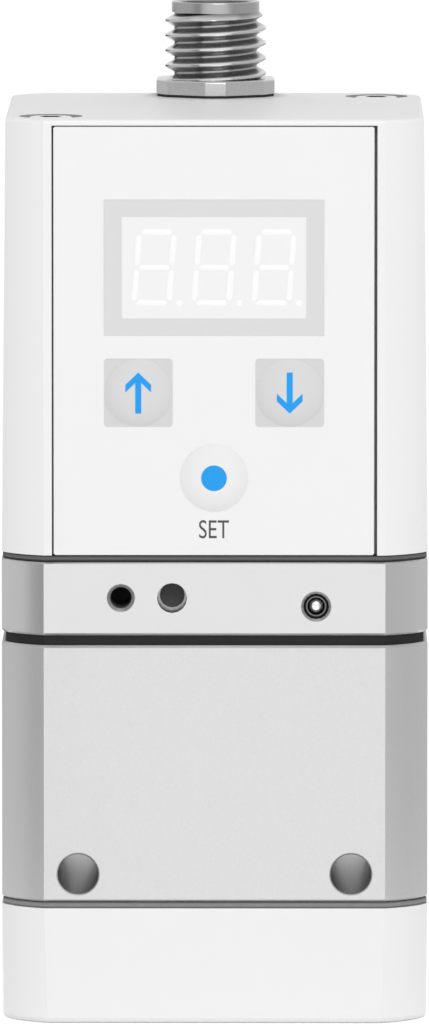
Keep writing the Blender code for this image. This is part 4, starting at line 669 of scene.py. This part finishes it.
def flat_gasket(name, gasket, middle_level, edge_shade_level):
    """Rubber gasket, lighter in the middle, with painted shade towards its top and bottom."""
    finish = raw_rubber(name)
    low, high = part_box(gasket)
    _, _, up = finish.axes()
    beyond_middle = abs(up - (low.z + high.z) / 2) / ((high.z - low.z) / 2)
    # Painted shade towards the gasket's top and bottom, next to the parts it lies between
    edge_shade = (beyond_middle * 2.5 - 1.0).held()
    gasket_grey = rubber_grey(finish, middle_level)
    finish.set(Base_Color=finish.mix(edge_shade, gasket_grey, grey(edge_shade_level)))
    return finish


def ball_sleeve(name):
    """Pressed sleeve round the ball: near-black painted shade of the gap outside, grey inside."""
    finish = tooled_metal(name)
    across, _, up = finish.axes()
    place = panel_place("sealing_sleeve")
    # Outside the step, near-black painted shade of the gap round the ball
    inner = inside(disc_field(across, up, place, SLEEVE_STEP_RADIUS), 0.08 * MM)
    levels = (SLEEVE_GAP_SHADE_LEVEL, SLEEVE_INNER_LEVEL)
    black, lighter = (finish.tint(grey(level), 0.1, 0.3 * MM) for level in levels)
    finish.set(Base_Color=finish.mix(inner, black, lighter), Roughness=turned(finish, 0.3))
    return finish


def grained_plastic(name, colour):
    """Moulded plastic with a fine grain, also for the boards."""
    finish = Finish(name)
    finish.set(Base_Color=finish.tint(colour, 0.08, 2 * MM))
    finish.set(Roughness=finish.noise(0.6 * MM, 3.0) * 0.15 + 0.42)
    finish.bump(finish.noise(0.3 * MM, 3.0), 0.004 * MM, 0.4)
    return finish


def porous(name):
    """Pressed porous disc of the vent."""
    finish = Finish(name, roughness=0.9)
    grain = finish.noise(0.22 * MM, 4.0, 0.8)
    finish.set(Base_Color=finish.mix(grain, grey(0.07), grey(0.20)))
    finish.bump(grain, 0.05 * MM, 0.8)
    return finish


# Meshes


def new_piece(name, shape, finish, body="housing", smooth_angle=30):
    """Turn a bmesh into a piece that rides on a body, or on none."""
    mesh = bpy.data.meshes.new(name)
    shape.to_mesh(mesh)
    shape.free()
    mesh.shade_smooth()
    mesh.set_sharp_from_angle(angle=radians(smooth_angle))
    piece = bpy.data.objects.new(name, mesh)
    bpy.context.scene.collection.objects.link(piece)
    mesh.materials.append(finish.material)
    if body is not None:
        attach(piece, body)
    return piece


def grid_faces(shape, rows):
    """Faces between rows of points that close on themselves."""
    for low, high in zip(rows, rows[1:]):
        for index, corner in enumerate(low):
            after = (index + 1) % len(low)
            shape.faces.new((corner, low[after], high[after], high[index]))


def ring(shape, radius, height, centre_y):
    """Level ring of points round the connector's axis."""
    row = []
    for column in range(THREAD_COLUMNS):
        angle = tau * column / THREAD_COLUMNS
        row.append(shape.verts.new((radius * cos(angle), centre_y + radius * sin(angle), height)))
    return row


def soften_edges(piece, width, angle):
    """Small rounding on every edge that turns more than the angle, in degrees."""
    bevel = piece.modifiers.new("softened_edges", "BEVEL")
    bevel.width = width
    bevel.segments = EDGE_STEPS
    bevel.limit_method = "ANGLE"
    bevel.angle_limit = radians(angle)
    bevel.miter_outer = "MITER_ARC"
    weighted = piece.modifiers.new("even_shading", "WEIGHTED_NORMAL")
    weighted.keep_sharp = True


def dress(node, finish):
    """Give a CAD node its finish, and smooth shading with sharp corners."""
    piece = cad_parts[node]
    mesh = piece.data
    mesh.materials.clear()
    mesh.materials.append(finish.material)
    flat_normals = mesh.attributes.get("custom_normal")
    if flat_normals is not None:
        mesh.attributes.remove(flat_normals)
    mesh.shade_smooth()
    joined = piece.modifiers.new("joined_facets", "WELD")
    joined.merge_threshold = SAME_POINT
    corners = piece.modifiers.new("sharp_corners", "EDGE_SPLIT")
    corners.split_angle = radians(LAYER_SHARP_ANGLE if node in LAYERS else SHARP_ANGLE)


def joined_copy(node):
    """A CAD node's mesh as a bmesh of its own, with its facets joined."""
    shape = bmesh.new()
    shape.from_mesh(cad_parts[node].data)
    bmesh.ops.remove_doubles(shape, verts=shape.verts, dist=SAME_POINT)
    return shape


def middle(node):
    """Middle of a CAD node's box."""
    low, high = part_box(node)
    return (low + high) / 2


def panel_place(node):
    """Middle of a node as a place in the front panel's plane."""
    centre = middle(node)
    return centre.x, centre.z


def connector_middle():
    return middle("connector_shell")


def thread_radius(phase):
    """Radius of the connector's thread at a share of its pitch, 0 at the crest's middle."""
    away = abs((phase + 0.5) % 1.0 - 0.5)
    share = min(1.0, max(0.0, (away - THREAD_FLAT) / (0.5 - THREAD_FLAT * 2)))
    rounded = share * share * (3 - 2 * share)
    return THREAD_RADIUS + (THREAD_ROOT - THREAD_RADIUS) * (share + rounded) / 2


def make_connector_shell(finish, centre_y, collar_top):
    """Connector's tube as one closed form: the outside thread, the plain rim and the bore."""
    low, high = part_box("connector_shell")
    high.z -= RIM_DROP
    thread_bottom = collar_top + SEAM
    thread_top = high.z - RIM_HEIGHT
    inner = THREAD_ROOT - TUBE_INSET
    shape = bmesh.new()
    rows = [ring(shape, inner, height, centre_y) for height in (low.z, thread_bottom)]
    count = int((thread_top - thread_bottom) / THREAD_PITCH * THREAD_ROWS) + THREAD_ROWS
    for step in range(-THREAD_ROWS, count + 1):
        row = []
        for column in range(THREAD_COLUMNS):
            turned = column / THREAD_COLUMNS
            height = thread_bottom + THREAD_PITCH * (step / THREAD_ROWS + turned)
            height = min(thread_top, max(thread_bottom, height))
            phase = (height - thread_bottom) / THREAD_PITCH - turned + THREAD_START
            radius = min(thread_radius(phase), RIM_RADIUS + thread_top - height)
            place = (radius * cos(tau * turned), centre_y + radius * sin(tau * turned), height)
            row.append(shape.verts.new(place))
        rows.append(row)
    profile = [
        (RIM_RADIUS, thread_top + 0.002 * MM),
        (RIM_RADIUS, thread_top + RIM_BEVEL),
        (RIM_RADIUS, high.z - RIM_BEVEL * 1.5),
        (RIM_RADIUS, high.z - RIM_BEVEL),
        (RIM_RADIUS - RIM_BEVEL * 0.3, high.z - RIM_BEVEL * 0.3),
        (RIM_RADIUS - RIM_BEVEL, high.z),
        (BORE_RADIUS + RIM_BEVEL * 2, high.z),
        (BORE_RADIUS, high.z - RIM_BEVEL * 2),
        (BORE_RADIUS, low.z),
    ]
    for radius, height in profile:
        rows.append(ring(shape, radius, height, centre_y))
    rows.append(rows[0])
    stitch_thread(shape, rows, 2, count + 2 + THREAD_ROWS)
    bmesh.ops.remove_doubles(shape, verts=shape.verts, dist=0.0004 * MM)
    bmesh.ops.dissolve_degenerate(shape, edges=shape.edges, dist=0.0002 * MM)
    bmesh.ops.recalc_face_normals(shape, faces=shape.faces)
    tube = new_piece("connector_tube", shape, finish, smooth_angle=40)
    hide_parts("connector_shell")


def stitch_thread(shape, rows, first, last):
    """Faces between the rows. A thread row meets itself one pitch higher after a turn."""
    for index, (low, high) in enumerate(zip(rows, rows[1:])):
        threaded = first <= index < last
        for column, corner in enumerate(low):
            after = (column + 1) % THREAD_COLUMNS
            if threaded and after == 0:
                low_after = rows[min(last, index + THREAD_ROWS)][0]
                high_after = rows[min(last, index + 1 + THREAD_ROWS)][0]
            else:
                low_after = low[after]
                high_after = high[after]
            corners = list(dict.fromkeys((corner, low_after, high_after, high[column])))
            if len(corners) > 2:
                shape.faces.new(corners)


def make_panel(finish):
    """Front panel with tighter corners and a closer lens opening. It stands for the CAD panel."""
    low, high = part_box("front_panel")
    lens_low, lens_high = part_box("display_lens")
    lens = (lens_low + lens_high) / 2
    opening_x = (lens_high.x - lens_low.x) / 2 - LENS_FLANGE + LENS_GAP
    opening_z = (lens_high.z - lens_low.z) / 2 - LENS_FLANGE + LENS_GAP
    shape = joined_copy("front_panel")
    for corner in shape.verts:
        point = corner.co
        side = 1 if point.x > lens.x else -1
        rise = 1 if point.z > (low.z + high.z) / 2 else -1
        edge_x = high.x if side > 0 else low.x
        edge_z = high.z if rise > 0 else low.z
        arc_x = point.x - (edge_x - side * PANEL_CORNER)
        arc_z = point.z - (edge_z - rise * PANEL_CORNER)
        if arc_x * side > -NEARLY and arc_z * rise > -NEARLY:
            point.x = edge_x - side * FINE_CORNER + arc_x * FINE_CORNER / PANEL_CORNER
            point.z = edge_z - rise * FINE_CORNER + arc_z * FINE_CORNER / PANEL_CORNER
        if point.x < low.x + PANEL_MARGIN:
            point.x -= PANEL_LEFT_GROWTH
        if point.z < low.z + PANEL_MARGIN:
            point.z -= low.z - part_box("electronics_cover")[0].z - PANEL_LOW_GAP
        across = point.x - lens.x
        up = point.z - lens.z
        if abs(across) < opening_x + NEARLY and abs(up) < opening_z + NEARLY:
            if abs(across) > opening_x - NEARLY:
                point.x -= side * (LENS_GAP - FINE_LENS_GAP)
            if abs(up) > opening_z - NEARLY:
                point.z -= (1 if up > 0 else -1) * (LENS_GAP - FINE_LENS_GAP)
    panel = new_piece("front_panel_fine", shape, finish, smooth_angle=28)
    soften_edges(panel, 0.03 * MM, 50)
    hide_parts("front_panel")


def make_spring(finish):
    """Poppet's spring as a piece of its own, riding on no body."""
    shape = joined_copy("poppet_spring")
    spring = new_piece("poppet_spring_fine", shape, finish, body=None, smooth_angle=SHARP_ANGLE)
    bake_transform(spring)
    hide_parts("poppet_spring")


def make_cover_screw(screw):
    """Long screw with its head a little below the cover's top. It stands for the CAD screw."""
    shape = joined_copy(screw)
    place = middle(screw)
    for corner in shape.verts:
        if corner.co.z > COVER_TOP - HEAD_EDGE:
            out = (corner.co - place).xy.length / SINK_RADIUS
            corner.co.z = COVER_TOP - HEAD_DROP - HEAD_CROWN * out ** 2
    finish = socket_screw(f"{screw}_finish", screw)
    piece = new_piece(f"{screw}_fine", shape, finish, smooth_angle=40)
    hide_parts(screw)


def make_collar(finish, centre_y, collar_top):
    """Hexagonal collar with flat corners and a chamfered upper edge, on a thin near-black band of
    painted contact shadow.
    """
    apothem = COLLAR_FLATS / 2
    half_corner = COLLAR_CORNER_WIDTH / 2
    corner_reach = COLLAR_FLATS / sqrt(3) - half_corner / tan(pi / 3)
    outline = []
    for corner in range(6):
        turn = Matrix.Rotation(pi / 2 + corner * pi / 3, 2)
        outline.append(turn @ Vector((corner_reach, -half_corner)))
        outline.append(turn @ Vector((corner_reach, half_corner)))
    shadow_band_bottom = collar_top - COLLAR_HEIGHT - COLLAR_GAP + SEAM
    bottom = shadow_band_bottom + COLLAR_SHADOW_BAND
    inner = [point.normalized() * (THREAD_ROOT - COLLAR_INSET) for point in outline]
    tucked = [point * COLLAR_SHADOW_BAND_SHARE for point in outline]
    narrowed = [point * (1 - COLLAR_CHAMFER / apothem) for point in outline]
    levels = [
        (bottom, outline),
        (collar_top - COLLAR_CHAMFER, outline),
        (collar_top, narrowed),
        (collar_top, inner),
        (bottom, inner),
    ]
    collar = new_piece("connector_collar", stacked_rings(levels, centre_y), finish, smooth_angle=20)
    soften_edges(collar, 0.06 * MM, 20)
    # Near-black band under the collar, which stands for the collar's contact shadow
    top = bottom - SEAM
    levels = [(shadow_band_bottom, tucked), (top, tucked), (top, inner), (shadow_band_bottom, inner)]
    shadow_black = rubber("collar_shadow_band_finish", 0.02)
    seal = new_piece("collar_shadow_band", stacked_rings(levels, centre_y), shadow_black, smooth_angle=20)


def stacked_rings(levels, centre_y):
    """Closed form through outlines at given heights, from the last back to the first."""
    shape = bmesh.new()
    rows = []
    for height, points in levels:
        rows.append([shape.verts.new((point.x, centre_y + point.y, height)) for point in points])
    rows.append(rows[0])
    grid_faces(shape, rows)
    bmesh.ops.recalc_face_normals(shape, faces=shape.faces)
    return shape


def make_key(name, body, level, mark, panel_front):
    """Domed key with a fine crown. It stands for the CAD key of that name."""
    low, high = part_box(name)
    centre_x, centre_z = panel_place(name)
    radius = KEY_RADIUS - KEY_CLEARANCE
    flange = (high.x - low.x) / 2
    flange_front = high.y - KEY_FLANGE
    outline = []
    for step in range(1, KEY_RINGS + 1):
        share = step / KEY_RINGS
        outline.append((radius * share, panel_front - KEY_CROWN * (1 - share ** KEY_CROWN_POWER)))
    outline += [(radius, flange_front), (flange, flange_front), (flange, high.y)]
    shape = bmesh.new()
    rows = []
    for along, depth in outline:
        row = []
        for column in range(KEY_COLUMNS):
            angle = tau * column / KEY_COLUMNS
            x = centre_x + along * cos(angle)
            row.append(shape.verts.new((x, depth, centre_z + along * sin(angle))))
        rows.append(row)
    grid_faces(shape, rows)
    crown = shape.verts.new((centre_x, panel_front - KEY_CROWN, centre_z))
    base = shape.verts.new((centre_x, high.y, centre_z))
    for column in range(KEY_COLUMNS):
        after = (column + 1) % KEY_COLUMNS
        shape.faces.new((crown, rows[0][after], rows[0][column]))
        shape.faces.new((base, rows[-1][column], rows[-1][after]))
    bmesh.ops.recalc_face_normals(shape, faces=shape.faces)
    finish = key_finish(f"{name}_finish", level, (centre_x, centre_z), mark)
    key = new_piece(f"{name}_fine", shape, finish, body)
    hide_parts(name)


def bar_outline(length, thickness):
    """Long hexagon with blunt ends, as one bar of a digit."""
    half = length / 2
    side = thickness / 2
    shoulder = half - side * 0.75
    tip = side * 0.35
    return [
        (-half, -tip), (-shoulder, -side), (shoulder, -side), (half, -tip),
        (half, tip), (shoulder, side), (-shoulder, side), (-half, tip),
    ]


def raised_shape(shape, outline, front, rise):
    """Thin prism with a softened front over an outline in the panel's plane."""
    centre_x = sum(point[0] for point in outline) / len(outline)
    centre_z = sum(point[1] for point in outline) / len(outline)
    rows = []
    for depth, share in ((front + rise, 1.0), (front - rise * 0.5, 1.0), (front - rise, 0.93)):
        row = []
        for x, z in outline:
            place = (centre_x + (x - centre_x) * share, depth, centre_z + (z - centre_z) * share)
            row.append(shape.verts.new(place))
        rows.append(row)
    grid_faces(shape, rows)
    shape.faces.new(rows[0])
    shape.faces.new(rows[-1])


def make_digits(lens_front):
    """Three slanted digits of seven bars each, with their points."""
    _, centre_z = panel_place("display_lens")
    shape = bmesh.new()
    half = DIGIT_HEIGHT / 2
    bars = [(0.0, half, False), (0.0, 0.0, False), (0.0, -half, False)]
    for side in (-DIGIT_HALF_WIDTH, DIGIT_HALF_WIDTH):
        bars += [(side, half / 2, True), (side, -half / 2, True)]
    for digit in range(DIGIT_COUNT):
        centre_x = DIGIT_FIRST_X + digit * DIGIT_PITCH
        for across, up, upright in bars:
            outline = []
            for along, aside in bar_outline(BAR_LENGTH, BAR_THICKNESS):
                x, z = (across + aside, up + along) if upright else (across + along, up + aside)
                outline.append((centre_x + x + DIGIT_SLANT * z, centre_z + z))
            raised_shape(shape, outline, lens_front, BAR_RISE)
        point_x = centre_x + POINT_OFFSET_X - DIGIT_SLANT * half
        point = []
        for step in range(POINT_CORNERS):
            angle = tau * step / POINT_CORNERS
            x = point_x + POINT_RADIUS * cos(angle)
            point.append((x, centre_z - half + POINT_RADIUS * sin(angle)))
        raised_shape(shape, point, lens_front, BAR_RISE)
    bmesh.ops.recalc_face_normals(shape, faces=shape.faces)
    finish = Finish("digit_finish", roughness=0.4)
    finish.set(Base_Color=finish.tint(grey(DIGIT_LEVEL), 0.005, 2 * MM))
    digits = new_piece("display_digits", shape, finish)


def make_label(panel_front):
    """Small printed word under the lower key."""
    text = bpy.data.curves.new("set_label_text", "FONT")
    text.body = "SET"
    text.extrude = LABEL_EXTRUDE
    holder = bpy.data.objects.new("set_label_text", text)
    bpy.context.scene.collection.objects.link(holder)
    bpy.context.view_layer.update()
    shape = bmesh.new()
    shape.from_mesh(holder.evaluated_get(bpy.context.evaluated_depsgraph_get()).to_mesh())
    bpy.data.objects.remove(holder)
    bpy.data.curves.remove(text)
    left, right = (limit(corner.co.x for corner in shape.verts) for limit in (min, max))
    low, high = (limit(corner.co.y for corner in shape.verts) for limit in (min, max))
    centre_x, key_z = panel_place("set_button")
    for corner in shape.verts:
        across = (corner.co.x - left) / (right - left) - 0.5
        up = (corner.co.y - low) / (high - low)
        depth = panel_front - LABEL_RISE * corner.co.z / LABEL_EXTRUDE
        z = key_z - LABEL_DROP + LABEL_HEIGHT * up
        corner.co = Vector((centre_x + LABEL_WIDTH * across, depth, z))
    bmesh.ops.remove_doubles(shape, verts=shape.verts, dist=SAME_POINT)
    bmesh.ops.recalc_face_normals(shape, faces=shape.faces)
    label = new_piece("set_label", shape, print_finish("label_finish", LABEL_LEVEL))


def dress_nodes():
    """Finish of every CAD node that stays in view or inside."""
    black_rubber = rubber("black_rubber_finish", 0.016)
    steel = turned_metal("screw_finish", STEEL, 0.26)
    brass = turned_metal("brass_finish", BRASS)
    contact = turned_metal("contact_finish", GOLD, 0.16)
    black = grained_plastic("black_plastic_finish", BLACK_PLASTIC)
    board = grained_plastic("board_finish", BOARD_GREEN)
    finishes = {
        "electronics_cover": cover_finish("white_cover_finish"),
        "base_cap": white_moulding("white_cap_finish", PANEL_WHITE),
        "display_lens": lens_finish("display_lens_finish", panel_place("display_lens")),
        "regulator_body": blasted_metal("body_finish"),
        "pilot_block": smooth_metal("pilot_block_finish"),
        "cover_gasket": flat_gasket("cover_gasket_finish", "cover_gasket", 0.125, 0.04),
        "cap_gasket": flat_gasket("cap_gasket_finish", "cap_gasket", 0.26, 0.14),
        "body_gasket": black_rubber,
        "vent_filter": porous("vent_filter_finish"),
        "sealing_sleeve": ball_sleeve("sleeve_finish"),
        "sealing_ball": turned_metal("ball_finish", BRIGHT_STEEL, 0.08),
        "connector_insert": black,
        "connector_nut": steel,
        "connector_seal": black_rubber,
        "connector_board": board,
        "control_board": board,
        "display_module": black,
        "pressure_sensor": grained_plastic("sensor_finish", SENSOR_GREY),
        "supply_valve": black,
        "exhaust_valve": black,
        "main_poppet": brass,
        "poppet_guide": brass,
        "poppet_seal": black_rubber,
        "guide_seal": black_rubber,
        "piston_seal": black_rubber,
        "control_piston": turned_metal("piston_finish", PISTON_METAL),
        "supply_plunger": steel,
        "exhaust_plunger": steel,
    }
    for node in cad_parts:
        if node in finishes:
            dress(node, finishes[node])
        elif "pin" in node:
            dress(node, contact)
        elif "switch" in node:
            dress(node, black)
        elif "screw" in node:
            dress(node, steel)


# Studio


def make_world():
    """Pale room, dimmer overhead than around, which the camera sees as plain white."""
    world = bpy.data.worlds.new("studio")
    bpy.context.scene.world = world
    world.use_nodes = True
    nodes = Nodes(world.node_tree)
    direction = nodes.node("ShaderNodeTexCoord")
    parts = nodes.node("ShaderNodeSeparateXYZ", inputs={0: direction}).socket.node.outputs
    up = Value(nodes, parts["Z"])
    around, overhead, white = (
        nodes.node("ShaderNodeBackground", inputs={"Color": grey(1.0), "Strength": level})
        for level in (ROOM_LEVEL, CEILING_LEVEL, 1.0)
    )
    room = nodes.node("ShaderNodeMixShader", inputs={0: up.held(), 1: around, 2: overhead})
    blend = nodes.node("ShaderNodeMixShader", inputs={0: nodes.seen(), 1: room, 2: white})
    nodes.feed(world.node_tree.nodes["World Output"].inputs["Surface"], blend)


def make_floor():
    """Plain white floor that keeps the regulator's shadow."""
    shape = bmesh.new()
    bmesh.ops.create_grid(shape, x_segments=8, y_segments=8, size=FLOOR_REACH)
    finish = Finish("floor_finish", roughness=0.9, Base_Color=grey(FLOOR_LEVEL))
    glow = finish.mix(finish.seen(), grey(0.0), grey(FLOOR_GLOW))
    finish.set(Specular_IOR_Level=0.0, Emission_Color=glow, Emission_Strength=1.0)
    floor = stage_piece("floor", shape, finish)
    floor.location.z = -FLOOR_GAP


def stage_piece(name, shape, finish):
    """Piece of the studio, which isn't part of the regulator."""
    mesh = bpy.data.meshes.new(name)
    shape.to_mesh(mesh)
    shape.free()
    mesh.materials.append(finish.material)
    piece = bpy.data.objects.new(name, mesh)
    bpy.context.scene.collection.objects.link(piece)
    return piece


def make_key_light():
    """Soft lamp in front, a little to the right and above."""
    lamp = bpy.data.lights.new("key_light", "AREA")
    lamp.shape = "DISK"
    lamp.size = KEY_SIZE
    lamp.energy = KEY_POWER
    level = cos(KEY_RISE)
    towards = Vector((sin(KEY_TURN) * level, -cos(KEY_TURN) * level, sin(KEY_RISE)))
    light = bpy.data.objects.new("key_light", lamp)
    light.location = towards * KEY_DISTANCE + Vector((0.0, 0.0, VIEW_CENTRE_Z))
    light.rotation_euler = towards.to_track_quat("Z", "Y").to_euler()
    bpy.context.scene.collection.objects.link(light)


def make_card(name, side, stops):
    """Curved grey card beside the regulator, seen only in its reflections."""
    shape = bmesh.new()
    posts = []
    for column in range(CARD_COLUMNS + 1):
        turn = CARD_START + (CARD_END - CARD_START) * column / CARD_COLUMNS
        x = side * CARD_RADIUS * sin(turn)
        y = -CARD_RADIUS * cos(turn)
        top = CARD_HEIGHT if turn < CARD_BACK_START else CARD_BACK_HEIGHT
        posts.append([shape.verts.new((x, y, height)) for height in (0.0, top)])
    for near, far in zip(posts, posts[1:]):
        shape.faces.new((near[0], far[0], far[1], near[1]))
    finish = Finish(name + "_finish", Base_Color=grey(0.0), Specular_IOR_Level=0.0)
    _, depth, _ = finish.axes()
    backwards = depth / (CARD_RADIUS * 2) + 0.5
    finish.set(Emission_Color=finish.ramp(backwards, stops), Emission_Strength=1.0)
    card = stage_piece(name, shape, finish)
    card.visible_camera = False
    card.visible_diffuse = False
    card.visible_shadow = False


def make_camera():
    """Camera at the photograph's angle and distance."""
    camera_data = bpy.data.cameras.new("camera")
    camera_data.sensor_width = SENSOR_WIDTH
    camera_data.lens = FOCAL_PIXELS * SENSOR_WIDTH / PHOTO_HEIGHT
    camera_data.clip_end = 50.0
    camera = bpy.data.objects.new("camera", camera_data)
    level = cos(CAMERA_PITCH)
    away = Vector((-sin(CAMERA_YAW) * level, -cos(CAMERA_YAW) * level, sin(CAMERA_PITCH)))
    target = Vector((0.0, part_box("electronics_cover")[0].y, VIEW_CENTRE_Z))
    camera.location = target + away * CAMERA_DISTANCE
    camera.rotation_euler = away.to_track_quat("Z", "Y").to_euler()
    bpy.context.scene.collection.objects.link(camera)
    bpy.context.scene.camera = camera


def build_scene():
    dress_nodes()
    pads = (panel_place("up_button"), panel_place("down_button"))
    make_panel(panel_finish("front_panel_finish", pads))
    for screw in ("cover_screw_front", "cover_screw_rear"):
        make_cover_screw(screw)
    make_spring(turned_metal("spring_finish", STEEL, 0.26))
    centre_y = connector_middle().y
    collar_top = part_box("connector_shell")[1].z - CONNECTOR_HEIGHT + COLLAR_GAP + COLLAR_HEIGHT
    thread = thread_finish("connector_thread_finish", centre_y)
    make_connector_shell(thread, centre_y, collar_top)
    plated = turned_metal("connector_collar_finish", grey(COLLAR_LEVEL), 0.2, 0.12)
    make_collar(plated, centre_y, collar_top)
    panel_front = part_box("front_panel")[0].y
    make_key("up_button", "up_key", ARROW_KEY_LEVEL, "up", panel_front)
    make_key("down_button", "down_key", ARROW_KEY_LEVEL, "down", panel_front)
    make_key("set_button", "set_key", SET_KEY_LEVEL, "dot", panel_front)
    make_label(panel_front)
    make_digits(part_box("display_lens")[0].y)
    make_camera()
    make_world()
    make_floor()
    make_key_light()
    make_card("left_card", -1, LEFT_CARD_STOPS)
    make_card("right_card", 1, RIGHT_CARD_STOPS)
    bpy.context.scene.view_settings.view_transform = "Standard"


build_scene()
